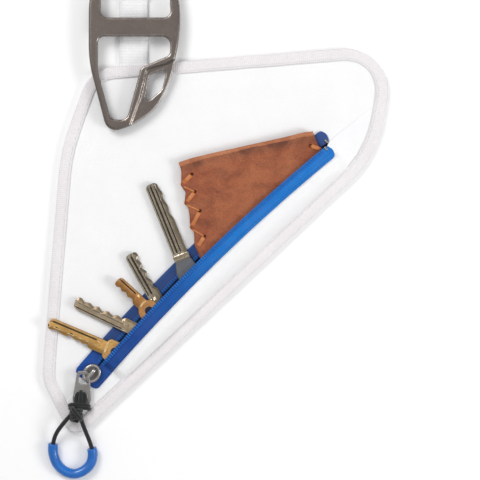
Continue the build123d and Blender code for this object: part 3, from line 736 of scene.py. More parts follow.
def make_binding():
    """Edge tape folded round the panels: a swept U with soft corners and a slightly uneven lie."""
    profile = [(6.7, 0.02), (0.9, 0.0), (0.3, 0.25), (0.05, 0.8), (0.0, 1.8), (0.05, 2.8), (0.3, 3.3),
               (0.9, 3.55), (3.0, 3.6), (5.4, 3.58), (6.5, 3.5), (6.75, 3.3), (6.7, 2.95), (0.8, 2.9),
               (0.8, 0.65), (6.7, 0.6)]
    edge = rounded_outline(POUCH_CORNERS, POUCH_RADII, step=1.2)
    path = []
    for p, n in zip(edge, inward(edge)):
        wave = 0.16 * ripple(p.x, p.y, 11.0, 2.0)
        path.append((Vector((p.x + n.x * wave, p.y + n.y * wave, 0.03 * ripple(p.x, p.y, 7.0))),
                     Vector((n.x, n.y, 0)), Vector((0, 0, 1))))
    obj = swept("binding_cloth", path, profile, MATERIAL["binding"], "pouch", closed=True)
    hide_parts("binding_tape")


panel_edge = inset(pouch_edge, 0.9)
reach_along = [zip_frame(p.x, p.y)[0] for p in panel_edge]
PANEL_START, PANEL_END = min(reach_along) + 0.6, max(reach_along) - 0.6


def panel_rows(count):
    """Places along the zip, closer together towards the pouch's two ends."""
    return [PANEL_START + (PANEL_END - PANEL_START) * (1 - cos(pi * i / (count - 1))) / 2
            for i in range(count)]


def cloth_panel(name, node, upper_drop, lower_drop, height, columns, material, thickness=0.35):
    """A panel between two edges, each given as drops along the zip; height(s, drop) is its middle."""
    rows = panel_rows(150)

    def middle(i, j):
        top, bottom = upper_drop(rows[i]), lower_drop(rows[i])
        drop = top + (bottom - top) * j / (columns - 1)
        p = zip_point(rows[i], drop)
        return at(p.x, p.y, height(rows[i], drop))

    def flat(i, j):
        top, bottom = upper_drop(rows[i]), lower_drop(rows[i])
        return rows[i] * MM, (top + (bottom - top) * j / (columns - 1)) * MM

    obj = thick_grid(name, len(rows), columns, middle, thickness, material, "pouch", flat)
    outline = [zip_point(s, upper_drop(s)) for s in rows] + [zip_point(s, lower_drop(s)) for s in rows[::-1]]
    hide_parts(node)
    return obj


def tape_rise(s):
    return stepped(TAPE_RISE, s)


def zip_here(s):
    """1 along the zip and 0 beyond its two ends, where the two front panels are one cloth."""
    return smooth((ZIP_END - 0.5 - s) / 5) * smooth((s - ZIP_START - 1) / 5)


def upper_height(s, drop):
    """Upper front panel: flat under the tape, softly filled beyond it."""
    low, _ = chord(s, panel_edge)
    away = smooth((-drop - 10) / 14) * smooth((drop - low - 7) / 14)
    p = zip_point(s, drop)
    return FRONT_MIDDLE + away * (0.5 + 0.35 * ripple(p.x, p.y, 22.0) + 0.12 * ripple(p.x, p.y, 8.0, 3.0))


def lower_height(s, drop):
    """Lower front panel: hangs from under the raised tape and falls to the binding."""
    _, high = chord(s, panel_edge)
    shoulder, foot = 12.6, max(15.2, min(high - 5.2, 26.0))
    top = 2.5 + (tape_rise(s) - 2.75) * zip_here(s)
    fall = smooth((drop - 5.8) / 7.5) * 0.12
    share = min(1.0, max(0.0, (drop - shoulder) / (foot - shoulder)))
    crease = 0.3 * ripple(s, drop * 0.5, 7.0, 5.0) * sin(pi * min(1.0, drop / foot))
    crease *= min(1.0, (top - 2.4) / 3)
    return FRONT_MIDDLE + (top - FRONT_MIDDLE) * (1 - fall) * cos(share * pi / 2) ** 0.8 + crease


def make_panels():
    upper = cloth_panel("upper_front_cloth", "front_upper_panel", lambda s: chord(s, panel_edge)[0],
                        lambda s: max(min(0.6 - 1.8 * zip_here(s), chord(s, panel_edge)[1]),
                                      chord(s, panel_edge)[0] + 0.05),
                        upper_height, 40, MATERIAL["panel"])
    lower = cloth_panel("lower_front_cloth", "front_lower_panel",
                        lambda s: min(max(2.2 * zip_here(s) - 0.6, chord(s, panel_edge)[0]),
                                      chord(s, panel_edge)[1] - 0.05),
                        lambda s: chord(s, panel_edge)[1], lower_height, 44, MATERIAL["panel"])
    back = cloth_panel("back_cloth", "back_panel", lambda s: chord(s, panel_edge)[0],
                       lambda s: chord(s, panel_edge)[1],
                       lambda s, drop: BACK_MIDDLE + 0.12 * ripple(s, drop, 26.0, 8.0), 60, MATERIAL["panel"])


def make_lining():
    """Blue lining between the panels, under the mouth; its dark grey navy is painted shade seen through the
    mouth.
    """
    rows, columns = 150, 22
    first, last = ZIP_START + 4, ZIP_END - 3

    def middle(i, j):
        s = first + (last - first) * i / (rows - 1)
        drop = LINING_TOP + LINING_WIDTH * j / (columns - 1)
        p = zip_point(s, drop)
        return at(p.x, p.y, LINING_MIDDLE + 0.12 * ripple(p.x, p.y, 9.0, 4.0))

    obj = thick_grid("lining_cloth", rows, columns, middle, 0.3, MATERIAL["lining"], "pouch",
                     lambda i, j: ((last - first) * i / (rows - 1) * MM,
                                   LINING_WIDTH * j / (columns - 1) * MM))
    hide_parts("lining")


# ---- repeated small parts: stitches and zip teeth ---------------------------------------------------
def rounded_bar(length, width, height, roundness=0.45):
    """A small bar along x with rounded edges, as a shape to repeat."""
    work = bmesh.new()
    bmesh.ops.create_cube(work, size=1.0)
    bmesh.ops.scale(work, vec=(length * MM, width * MM, height * MM), verts=work.verts)
    bmesh.ops.bevel(work, geom=work.edges, offset=min(width, height) * roundness * MM, segments=2,
                    affect="EDGES", profile=0.5)
    mesh = bpy.data.meshes.new("bar")
    layer = work.loops.layers.uv.new("UVMap")
    for face in work.faces:
        face.smooth = True
        for loop in face.loops:
            loop[layer].uv = (loop.vert.co.x, loop.vert.co.y + loop.vert.co.z)
    work.to_mesh(mesh)
    work.free()
    return bpy.data.objects.new("bar", mesh)


def repeated(name, places, shape, material, body):
    """One mesh with the shape at each (point of the frame, (turn x, y, z)) place."""
    mesh = bpy.data.meshes.new(name)
    mesh.from_pydata([tuple(point) for point, _ in places], [], [])
    turns = mesh.attributes.new("turn", "FLOAT_VECTOR", "POINT")
    for k, (_, turn) in enumerate(places):
        turns.data[k].vector = turn
    obj = placed_object(name, mesh)
    bpy.context.collection.objects.link(shape)
    group = bpy.data.node_groups.new("Repeat " + name, "GeometryNodeTree")
    group.interface.new_socket("Geometry", in_out="INPUT", socket_type="NodeSocketGeometry")
    group.interface.new_socket("Geometry", in_out="OUTPUT", socket_type="NodeSocketGeometry")
    w = Wiring(group)
    given = w.node("NodeGroupInput").outputs[0]
    points = w.node("GeometryNodeMeshToPoints", {"Mesh": given}).outputs[0]
    turn = w.node("GeometryNodeInputNamedAttribute", {"Name": "turn"}, data_type="FLOAT_VECTOR").outputs[0]
    source = w.node("GeometryNodeObjectInfo", {"Object": shape}).outputs["Geometry"]
    euler = w.node("FunctionNodeEulerToRotation", {0: turn}).outputs[0]
    copies = w.node("GeometryNodeInstanceOnPoints", {"Points": points, "Instance": source,
                                                     "Rotation": euler}).outputs[0]
    real = w.node("GeometryNodeRealizeInstances", {0: copies}).outputs[0]
    painted = w.node("GeometryNodeSetMaterial", {"Geometry": real, "Material": material}).outputs[0]
    w.node("NodeGroupOutput", {0: painted})
    obj.modifiers.new("repeat", "NODES").node_group = group
    bake_modifiers(obj)
    bpy.data.objects.remove(shape)
    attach(obj, body)
    return obj


def stitch_places(line, pitch, height):
    """Evenly spaced places along a line of drawing points, one every pitch, at height(point)."""
    places, carried = [], 0.0
    for a, b in zip(line, line[1:]):
        step = b - a
        while carried <= step.length:
            p = a + step * (carried / step.length)
            places.append((at(p.x, p.y, height(p)), (0.0, 0.0, atan2(step.y, step.x))))
            carried += pitch
        carried -= step.length
    return places


def make_binding_stitches():
    row = inset(rounded_outline(POUCH_CORNERS, POUCH_RADII, step=1.2), 5.5)
    row.append(row[0])
    places = stitch_places(row, 2.9, lambda p: 3.56 + 0.03 * ripple(p.x, p.y, 7.0))
    places += stitch_places(row, 2.9, lambda p: 0.1)
    obj = repeated("binding_stitches", places, rounded_bar(2.1, 0.34, 0.26), MATERIAL["thread"], "pouch")


# ---- hang strap -------------------------------------------------------------------------------------
def filleted(points, radii, steps=6):
    """Points along a line whose inner corners are rounded."""
    line = [Vector(points[0])]
    for k, radius in enumerate(radii, 1):
        before, here, after = Vector(points[k - 1]), Vector(points[k]), Vector(points[k + 1])
        back, ahead = (before - here).normalized(), (after - here).normalized()
        half = back.angle(ahead) / 2
        cut = radius * cos(half) / sin(half)
        start, end = here + back * cut, here + ahead * cut
        for t in range(steps + 1):
            t /= steps
            line.append(start * (1 - t) ** 2 + here * 2 * t * (1 - t) + end * t * t)
    line.append(Vector(points[-1]))
    return line


def spaced(points, step):
    """The same line with points no further than a step apart."""
    line = []
    for a, b in zip(points, points[1:]):
        pieces = max(1, int((b - a).length / step))
        line += [a.lerp(b, k / pieces) for k in range(pieces)]
    return line + [points[-1]]


def make_strap():
    """Webbing from the pouch's edge, round the clip's bow and back onto itself, with its stitching."""
    route = [(STRAP_X, 60.5, 1.75), (STRAP_X, 122, 1.75), (STRAP_X, 137.2, 2.15), (STRAP_X, 138.2, 12.3),
             (STRAP_X, 122.5, 12.7), (STRAP_X, 120.5, 3.1), (STRAP_X, 101.5, 3.1)]
    line = spaced(filleted(route, [6, 3.5, 3.5, 3.5, 1.2]), 1.0)
    half = STRAP_WIDTH / 2
    profile = [(-half, 0), (-half + 0.35, -0.55), (-4, -0.62), (0, -0.6), (4, -0.62), (half - 0.35, -0.55),
               (half, 0), (half - 0.35, 0.55), (4, 0.62), (0, 0.6), (-4, 0.62), (-half + 0.35, 0.55)]
    path = []
    for i, p in enumerate(line):
        side = Vector((1, 0, 0))
        path.append((p + Vector((0.12 * ripple(p.y, p.z, 9.0), 0, 0)), side, side.cross(direction(line, i))))
    obj = swept("strap_webbing", path, profile, MATERIAL["webbing"], "pouch")
    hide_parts("hang_strap", "strap_tack")
    box = [Vector((STRAP_X + x, y)) for x, y in ((-6, 103.5), (6, 103.5), (6, 117), (-6, 117), (-6, 103.5),
                                                 (6, 117), (6, 103.5), (-6, 117))]
    tops = stitch_places(box, 2.1, lambda p: 3.78)
    tops += stitch_places(box, 2.1, lambda p: 1.12)
    stitches = repeated("strap_stitches", tops, rounded_bar(1.6, 0.4, 0.3), MATERIAL["thread"], "pouch")


# ---- zip --------------------------------------------------------------------------------------------
def tape_strip(name, node, start, end, near, far, height, material, thickness=0.7):
    """A tape along the zip from drop near to drop far, with rounded ends."""
    rows, columns, corner = 260, 9, 3.2

    def place(i, j):
        s = start + (end - start) * i / (rows - 1)
        from_end = min(s - start, end - s)
        cut = corner - sqrt(max(0.0, corner ** 2 - (corner - from_end) ** 2)) if from_end < corner else 0.0
        cut = cut if far > near else -cut
        return s, near + cut + (far - near - 2 * cut) * j / (columns - 1)

    def middle(i, j):
        s, drop = place(i, j)
        p = zip_point(s, drop)
        return at(p.x, p.y, height(s, drop))

    obj = thick_grid(name, rows, columns, middle, thickness, material, "pouch",
                     lambda i, j: tuple(v * MM for v in place(i, j)))
    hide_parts(node)
    return obj


def lower_tape_height(s, drop):
    """Middle of the raised tape: its edge stands a little proud and the rest slopes to the panel."""
    lean = 0.35 * smooth((drop - 3.0) / 5.3) + 0.1 * ripple(s, drop, 14.0, 7.0)
    return tape_rise(s) + 0.4 - lean


def upper_tape_height(s, drop):
    return UPPER_TAPE_MIDDLE + 0.08 * ripple(s, drop, 12.0, 9.0)


def make_zip():
    lower = tape_strip("lower_tape_cloth", "lower_zip_tape", ZIP_START, ZIP_END - 3, 0.4, TAPE_WIDTH,
                       lower_tape_height, MATERIAL["zip_tape"])
    upper = tape_strip("upper_tape_cloth", "upper_zip_tape", ZIP_START, ZIP_END, -0.4, -TAPE_WIDTH,
                       upper_tape_height, MATERIAL["zip_tape_inner_shaded"])
    first, last = SLIDER_S + 8, ZIP_END - 6
    count = int((last - first) / TEETH_PITCH)
    for name, node, drop, height in (
            ("lower_teeth_row", "lower_teeth", TEETH_DROP,
             lambda s: lower_tape_height(s, TEETH_DROP) + 0.62),
            ("upper_teeth_row", "upper_teeth", -TEETH_DROP,
             lambda s: upper_tape_height(s, -TEETH_DROP) + 0.45)):
        places = []
        for k in range(count):
            s = first + k * TEETH_PITCH
            p = zip_point(s, drop)
            slope = height(s + 0.5) - height(s - 0.5)
            places.append((at(p.x, p.y, height(s)), (0.0, -atan2(slope, 1.0), zip_turn(s))))
        obj = repeated(name, places, rounded_bar(0.95, 2.1, 0.8), MATERIAL["zip_teeth"], "pouch")
        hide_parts(node)
    crimps = []
    for s, drop, height in ((ZIP_END - 5.6, TEETH_DROP, lower_tape_height),
                            (ZIP_END - 2.6, -TEETH_DROP, upper_tape_height)):
        p = zip_point(s, drop)
        crimps.append((at(p.x, p.y, height(s, drop) + 0.6), (0.0, 0.0, zip_turn(s))))
    obj = repeated("end_crimps", crimps, rounded_bar(1.5, 2.4, 1.1), MATERIAL["zip_metal"], "pouch")
    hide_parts("zip_end_stops")
    rows = []
    for drop, height in ((STITCH_DROP, lower_tape_height), (-STITCH_DROP, upper_tape_height)):
        line = [zip_point(ZIP_START + 4 + k * 1.5, drop) for k in range(122)]
        rows += stitch_places(line, 2.3, lambda p: height(*zip_frame(p.x, p.y)) + 0.38)
    obj = repeated("zip_stitches", rows, rounded_bar(1.6, 0.28, 0.2), MATERIAL["zip_thread"], "pouch")


# ---- leather case -----------------------------------------------------------------------------------
CASE_LEFT = [(-22.9, 8.9), (-21.5, 4.6), (-21.4, -2.6), (-20.3, -5.5), (-19.0, -7.5), (-19.4, -12.6),
             (-17.6, -16.0), (-16.9, -20.0), (-16.4, -25.6), (-14.4, -29.5), (-14.0, -36.6),
             (-12.1, -41.0), (-10.6, -45.0), (-7.8, -49.2)]
CASE_TOP = [(-22.9, 8.9), (-11.2, 12.4), (16.8, 18.7), (36.4, 23.0), (46.0, 25.4), (52.1, 26.2)]
CASE_RIGHT = [(52.1, 26.2), (54.3, 20.4), (56.4, 16.4), (60.5, 9.5)]


def through(points, share):
    """A smooth curve through points, by its share of their length (Catmull-Rom)."""
    spots = [Vector(p) for p in points]
    lengths = [0.0]
    for a, b in zip(spots, spots[1:]):
        lengths.append(lengths[-1] + (b - a).length)
    want = min(share, 0.99999) * lengths[-1]
    k = max(i for i, length in enumerate(lengths[:-1]) if length <= want)
    t = (want - lengths[k]) / (lengths[k + 1] - lengths[k])
    p0, p1, p2 = spots[max(k - 1, 0)], spots[k], spots[k + 1]
    p3 = spots[min(k + 2, len(spots) - 1)]
    return 0.5 * ((2 * p1) + (p2 - p0) * t + (2 * p0 - 5 * p1 + 4 * p2 - p3) * t * t
                  + (3 * p1 - p0 - 3 * p2 + p3) * t ** 3)


def case_point(u, v):
    """A point of the case's plan: u from left to right, v from top to bottom (a Coons patch)."""
    left, right = through(CASE_LEFT, v), through(CASE_RIGHT, v)
    top = through(CASE_TOP, u)
    first, last = zip_frame(*CASE_LEFT[-1]), zip_frame(*CASE_RIGHT[-1])
    bottom = zip_point(first[0] + (last[0] - first[0]) * u, first[1] + (last[1] - first[1]) * u)
    corners = (Vector(CASE_TOP[0]) * (1 - u) * (1 - v) + Vector(CASE_TOP[-1]) * u * (1 - v)
               + Vector(CASE_LEFT[-1]) * (1 - u) * v + Vector(CASE_RIGHT[-1]) * u * v)
    return left * (1 - u) + right * u + top * (1 - v) + bottom * v - corners


def case_height(u, v):
    """Middle of the front leather: pressed down at the laced edge, full in the middle."""
    p = case_point(u, v)
    full = sin(pi * min(1.0, u * 1.02)) ** 0.5 * sin(pi * (0.12 + 0.76 * v)) ** 0.7
    return 6.75 + 0.95 * full + 0.14 * ripple(p.x, p.y, 13.0, 1.0) + 0.05 * ripple(p.x, p.y, 4.0, 2.0)


def case_sheet(name, node, height, thickness, columns=110, rows=90):
    def middle(i, j):
        p = case_point(j / (columns - 1), i / (rows - 1))
        return at(p.x, p.y, height(j / (columns - 1), i / (rows - 1)))

    obj = thick_grid(name, rows, columns, middle, thickness, MATERIAL["leather"], "case")
    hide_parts(node)
    return obj


def burnish(obj, width=7.0):
    """Marks the leather near the case's top edge, for the painted shade band below its rim."""
    top = [through(CASE_TOP, k / 60) for k in range(61)]
    values = obj.data.attributes.new("burnish", "FLOAT", "POINT")
    for vertex in obj.data.vertices:
        spot = drawn(vertex.co)
        away = min(hypot(spot.x - p.x, spot.y - p.y) for p in top)
        values.data[vertex.index].value = smooth(1.0 - (away - 1.6) / width)


def make_case():
    back = case_sheet("case_back_leather", "case_back", lambda u, v: 5.25, 1.5, 60, 50)
    front = case_sheet("case_front_leather", "case_front", case_height, 1.4)
    cutters = []
    for x, y in CASE_HOLES:
        work = bmesh.new()
        bmesh.ops.create_cone(work, cap_ends=True, segments=20, radius1=0.85 * MM, radius2=1.05 * MM,
                              depth=4 * MM)
        bmesh.ops.translate(work, vec=at(x, y, 7.6), verts=work.verts)
        mesh = bpy.data.meshes.new("hole cutter")
        work.to_mesh(mesh)
        work.free()
        cutter = placed_object("hole cutter", mesh)
        cut = front.modifiers.new("hole", "BOOLEAN")
        cut.object, cut.operation, cut.solver = cutter, "DIFFERENCE", "EXACT"
        cutters.append(cutter)
    bake_modifiers(front)
    for cutter in cutters:
        bpy.data.objects.remove(cutter)
    for obj in (back, front):
        burnish(obj)

    rim_line = [through(CASE_TOP, k / 120) for k in range(121)]
    path = []
    for i, p in enumerate(rim_line):
        along = direction(rim_line, i)
        wave = 0.1 * ripple(p.x, p.y, 6.0, 6.0)
        path.append((Vector((p.x, p.y + wave, 6.9)), Vector((along.y, -along.x, 0)), Vector((0, 0, 1))))
    rim = swept("case_rim", path, [(-0.5, -0.9), (-0.65, 0.0), (-0.45, 0.9), (0.2, 1.25), (1.3, 1.15),
                                   (2.2, 0.75), (2.2, -0.9)], MATERIAL["leather_rim_painted_highlight"], "case")


def thong(route, width, height):
    """A flat leather strip along drawing points (x, y, z), as (path, profile) for swept()."""
    line = spaced(filleted(route, [0.7] * (len(route) - 2), steps=5), 0.35)
    half = width / 2
    profile = [(-half, 0.0), (-half * 0.8, -height / 2), (half * 0.8, -height / 2), (half, 0.0),
               (half * 0.75, height / 2), (-half * 0.75, height / 2)]
    return path_frames(line), profile


def make_lacing():
    """Thongs from each hole over the laced edge, round the back, and up to the next hole."""
    def top(x, y):
        return 8.15 if x > -8 else 7.95

    made = []
    for k, (x, y) in enumerate(CASE_HOLES):
        ex, ey = CASE_LACE_EDGE[k]
        x, y = x + (ex - x) * 0.12, y + (ey - y) * 0.12
        made.append((2.3, [(x, y, 6.2), (x, y, top(x, y) + 0.1),
                           (x + (ex - x) * 0.6, y + (ey - y) * 0.6, 8.1), (ex, ey, 7.1),
                           (ex + (ex - x) * 0.03, ey - 0.6, 4.6), (x, y - 1.5, 4.1)]))
        if k < 3:
            nx, ny = CASE_HOLES[k + 1]
            nx, ny = nx - 0.5, ny + 0.25
            made.append((0.9, [(ex + 1.0, ey - 1.5, 4.2), (ex - 0.3, ey - 1.0, 5.2),
                               (ex - 0.1, ey - 1.2, 7.2),
                               (ex + (nx - ex) * 0.45, ey - 1.2 + (ny - ey + 1.2) * 0.45, 7.95),
                               (nx, ny, top(nx, ny) + 0.05), (nx, ny, 6.4)]))
    for k, (width, route) in enumerate(made):
        path, profile = thong(route, width, 0.5)
        obj = swept(f"case_thong_{k + 1}", path, profile, MATERIAL["lace"], "case")
        if k == 0:
            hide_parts("case_lace")


# ---- cord, knot and grip ----------------------------------------------------------------------------
def route_curve(name, points):
    """An open NURBS line through the frame, with these drawing points as its control points."""
    data = bpy.data.curves.new(name, "CURVE")
    data.dimensions = "3D"
    data.resolution_u = 24
    spline = data.splines.new("NURBS")
    spline.points.add(len(points) - 1)
    for spot, p in zip(spline.points, points):
        spot.co = (*at(*p), 1.0)
    spline.order_u = 3
    spline.use_endpoint_u = True
    return placed_object(name, data)


def make_cord():
    cord = route_curve("cord_loop", CORD_ROUTE)
    bare = bpy.data.meshes.new_from_object(cord)
    line = [drawn(v.co) for v in bare.vertices]
    length = sum((b - a).length for a, b in zip(line, line[1:])) * MM
    cord.data.bevel_depth = CORD_DIAMETER / 2 * MM
    cord.data.bevel_resolution = 6
    cord.data.use_fill_caps = True
    cord.data.materials.append(MATERIAL["cord"])
    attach(cord, "grip")
    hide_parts("pull_cord")

    # the sleeve: a soft tube over the cord's lower bend, open at both ends
    bend = [p for p in line if p.z < 3.9 and p.y < -147]
    outer = [(GRIP_RADIUS, 0.45), (GRIP_RADIUS - 0.2, 0.1), (GRIP_RADIUS - 0.6, 0.0), (1.35, 0.0), (1.3, 0.8)]
    frames = path_frames(bend)
    sides, last = 28, len(bend) - 1
    verts = []
    stations = [(0, radius, back) for radius, back in reversed(outer)]
    stations += [(i, GRIP_RADIUS, 0.0) for i in range(2, last - 1)]
    stations += [(last, radius, -back) for radius, back in outer]
    stations += [(i, 1.3, 0.0) for i in range(last - 3, 2, -1)]
    for i, radius, shift in stations:
        centre, side, up = frames[i]
        centre = centre + direction(bend, i) * shift
        for k in range(sides):
            angle = 2 * pi * k / sides
            p = centre + side * (radius * cos(angle)) + up * (radius * sin(angle))
            verts.append(at(p.x, p.y, p.z))
    faces = grid_faces(len(stations), sides, wrap_rows=True, wrap_columns=True)
    grip = piece("grip_sleeve", verts, faces, MATERIAL["grip"], "grip")
    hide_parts("grip_tube")
    return cord, grip, length


def strand(name, route, radius, node=None, body="grip"):
    """One turn of cord in the knot or through the tab."""
    line = spaced(filleted(route, [radius * 1.25] * (len(route) - 2), steps=6), 0.4)
    obj = swept(name, path_frames(line), oval_profile(radius, radius, 14), MATERIAL["wrapped"], body)
    if node:
        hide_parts(node)
    return obj


def ring_route(centre, wide, high, lean, turns=1.0, start=0.0, advance=0.0):
    """Points round an upright oval that leans along y and may advance like a screw."""
    points = []
    count = int(16 * turns) + 1
    for k in range(count):
        angle = start + 2 * pi * turns * k / (count - 1)
        points.append((centre[0] + wide * cos(angle),
                       centre[1] + lean * sin(angle) - advance * k / (count - 1),
                       centre[2] + high * sin(angle)))
    return points


def make_knot():
    """An overhand knot: turns round the two legs, with one strand across its front."""
    cx, cy, cz = KNOT_CENTRE
    made = [strand("knot_turns", ring_route((cx, cy + 2.4, cz), 2.7, 2.35, 0.6, turns=3.0, start=-1.2,
                                            advance=5.6), 1.2, "cord_knot"),
            strand("knot_core_left", [(cx - 1.0, cy + 4.8, cz + 0.4), (cx - 1.2, cy, cz),
                                      (cx - 1.9, cy - 3.6, cz - 0.1)], 1.2),
            strand("knot_core_right", [(cx + 1.1, cy + 4.8, cz + 0.4), (cx + 1.1, cy, cz),
                                       (cx + 1.6, cy - 3.6, cz - 0.1)], 1.2),
            strand("knot_front", [(cx - 2.6, cy + 4.4, cz - 0.4), (cx - 1.6, cy + 3.0, cz + 3.3),
                                  (cx + 2.2, cy - 1.8, cz + 3.3), (cx + 2.7, cy - 3.4, cz + 0.2)], 1.15)]
    return made


def make_cord_wrap():
    """The cord through the tab's lower hole, and its turn across the tab's end."""
    hx, hy, hz = TAB_HOLE
    across = [(hx - 6.3, hy - 4.9, hz - 0.4), (hx - 5.6, hy - 4.4, hz + 1.9), (hx - 0.6, hy - 4.0, hz + 2.9),
              (hx + 3.6, hy - 4.5, hz + 2.0), (hx + 4.4, hy - 5.3, hz - 0.2)]
    return [strand("wrap_across", across, 1.25, "cord_wrap"),
            strand("wrap_under", [(p[0] + 0.3, p[1] - 1.7, p[2] - 0.6) for p in across], 1.2),
            strand("wrap_hole_left", [(hx - 2.2, hy - 4.0, hz + 2.0), (hx - 2.6, hy - 1.0, hz + 1.7),
                                      (hx - 1.9, hy + 1.7, hz + 0.8), (hx - 1.2, hy + 1.6, hz - 1.5),
                                      (hx - 0.8, hy - 1.0, hz - 2.4)], 1.3),
            strand("wrap_hole_middle", [(hx - 0.4, hy - 4.2, hz + 2.4), (hx, hy - 0.8, hz + 2.5),
                                        (hx + 0.1, hy + 2.5, hz + 0.9), (hx, hy + 2.2, hz - 1.5),
                                        (hx, hy - 1.0, hz - 2.4)], 1.35),
            strand("wrap_hole_right", [(hx + 1.6, hy - 4.2, hz + 2.0), (hx + 2.5, hy - 1.0, hz + 1.7),
                                       (hx + 2.0, hy + 1.6, hz + 0.8), (hx + 1.2, hy + 1.6, hz - 1.5),
                                       (hx + 0.9, hy - 1.0, hz - 2.4)], 1.3)]


# ---- keys -------------------------------------------------------------------------------------------
# hole and heading place each key; cuts are (distance from the tip, depth) and grooves (from, to, depth)
# are measured across the blade from its uncut edge; side is 1 where the cuts are left of the heading
KEYS = {
    "key_1": dict(hole=(-58.8, -96.6), heading=157.1, length=40.4, width=8.2, level=4.5, bow=6.1, side=1,
                  square=True, metal="key_brass", grooves=[(1.15, 2.3, 0.75), (4.4, 4.8, 0.2)],
                  cuts=[(0, 1.0), (2.5, 1.6), (5, 2.6), (8, 1.9), (11, 1.5), (14, 2.7), (17, 1.6),
                        (20, 2.1), (22, 1.2), (24, 2.0), (26, 0.3), (60, 0.3)]),
    "key_2": dict(hole=(-43.0, -86.2), heading=154.4, length=42.0, width=8.0, level=4.5, bow=6.2, side=-1,
                  square=False, metal="key_nickel", grooves=[(0.75, 1.6, 0.7), (3.5, 4.2, 0.3)],
                  cuts=[(0, 0.6), (2.5, 1.0), (5, 2.2), (8, 1.5), (10.5, 2.4), (13, 1.2), (16, 2.6),
                        (19, 1.3), (22, 2.2), (25, 1.0), (28, 1.6), (30, 0.2), (60, 0.2)]),
    "key_3": dict(hole=(-39.4, -73.5), heading=137.6, length=24.8, width=7.0, level=7.35, bow=6.2, side=1,
                  square=False, metal="key_bronze", grooves=[(1.0, 2.0, 0.75)],
                  cuts=[(0, 0.5), (1.8, 1.0), (4, 2.0), (6, 1.2), (8, 2.2), (10.5, 1.1), (13, 1.9),
                        (15.5, 0.2), (60, 0.2)]),
    "key_4": dict(hole=(-31.6, -74.2), heading=119.3, length=37.5, width=8.0, level=4.5, bow=5.2, side=-1,
                  square=False, metal="key_dark", grooves=[(0.8, 1.7, 0.7), (2.6, 4.0, 0.8)],
                  cuts=[(0, 0.5), (2.5, 0.8), (5, 2.1), (7.5, 1.4), (10, 2.5), (13, 1.2), (16, 2.3),
                        (19, 1.0), (22, 1.7), (24.5, 0.2), (60, 0.2)]),
    "key_5": dict(hole=(-15.5, -58.0), heading=112.0, length=60.1, width=8.9, level=4.5, side=-1,
                  metal="key_dark", grooves=[(0.7, 1.5, 0.7), (2.3, 3.6, 0.85), (4.6, 5.6, 0.85)],
                  cuts=[(0, 1.6), (3, 1.9), (7, 1.0), (10, 1.8), (15, 0.9), (19, 1.4), (23, 0.4), (60, 0.3)]),
}
KEY_THICK = 2.0


def key_axes(key):
    """The key's hole, the direction along its blade and the direction from its uncut to its cut edge."""
    turn = radians(key["heading"])
    along = Vector((cos(turn), sin(turn)))
    return Vector(key["hole"]), along, Vector((-along.y, along.x)) * key["side"]


def key_blade(key, start):
    """Points and faces of a blade: a milled section whose cut edge follows the bitting."""
    hole, along, across = key_axes(key)
    length, width = key["length"], key["width"]
    section = [(0.0, 1.0), (0.12, 0.35), (0.4, 0.0)]
    for a, b, depth in key["grooves"]:
        section += [(a, 0.0), (a + 0.12, depth), (b - 0.12, depth), (b, 0.0)]
    edge_section = [(1.7, 0.0), (0.75, 0.4), (0.15, 0.6), (0.0, 1.0)]
    count = int((length - start) / 0.3)
    columns = len(section) + len(edge_section)
    verts = []
    for i in range(count + 1):
        x = start + (length - start) * i / count
        to_tip = length - x
        round_off = 2.6 - sqrt(max(0.0, 2.6 ** 2 - max(0.0, 2.6 - to_tip) ** 2))
        near = 0.8 * round_off
        far = width - stepped(key["cuts"], to_tip) - round_off
        fade = smooth((x - start - 3.5) / 3.0)
        tops = [(near + w, d if w < 0.5 else d * fade) for w, d in section]
        tops += [(far - w, d) for w, d in edge_section]
        for side in (1, -1):
            for j, (w, depth) in enumerate(tops if side == 1 else tops[::-1]):
                k = j if side == 1 else columns - 1 - j
                w = max(near + 0.01 * k, min(w, far - 0.01 * (columns - 1 - k)))
                p = hole + along * x + across * (w - width / 2)
                half = KEY_THICK / 2 - 0.03 - depth
                verts.append(at(p.x, p.y, key["level"] + KEY_THICK / 2 + side * half))
    faces = grid_faces(count + 1, 2 * columns, wrap_columns=True)
    faces += [tuple(range(2 * columns)), tuple(range(count * 2 * columns, (count + 1) * 2 * columns))]
    return verts, faces


def key_bow(key):
    """Points and faces of a key's head: a plate with a soft edge, a pressed panel and the post's hole."""
    hole, along, across = key_axes(key)
    section = [(1.65, 0.15, 0), (1.8, 0.0, 0), (2.9, 0.0, 0), (3.1, 0.22, 0), (-1.7, 0.22, 1),
               (-1.5, 0.0, 1), (-0.45, 0.0, 1), (-0.12, 0.25, 1), (0.0, 0.7, 1)]
    ring = [(*spot, 1) for spot in section] + [(*spot, -1) for spot in section[::-1]]
    sides = 72
    verts = []
    for k in range(sides):
        angle = 2 * pi * k / sides
        reach = key["bow"]
        if key["square"]:
            reach *= min(1.0 / max(abs(cos(angle)), abs(sin(angle))), 1.24)
        for r, depth, at_rim, side in ring:
            radius = (reach if at_rim else 0.0) + r
            p = hole + along * (radius * cos(angle)) + across * (radius * sin(angle))
            verts.append(at(p.x, p.y, key["level"] + KEY_THICK / 2 + side * (KEY_THICK / 2 - depth)))
    return verts, grid_faces(sides, len(ring), wrap_rows=True, wrap_columns=True)


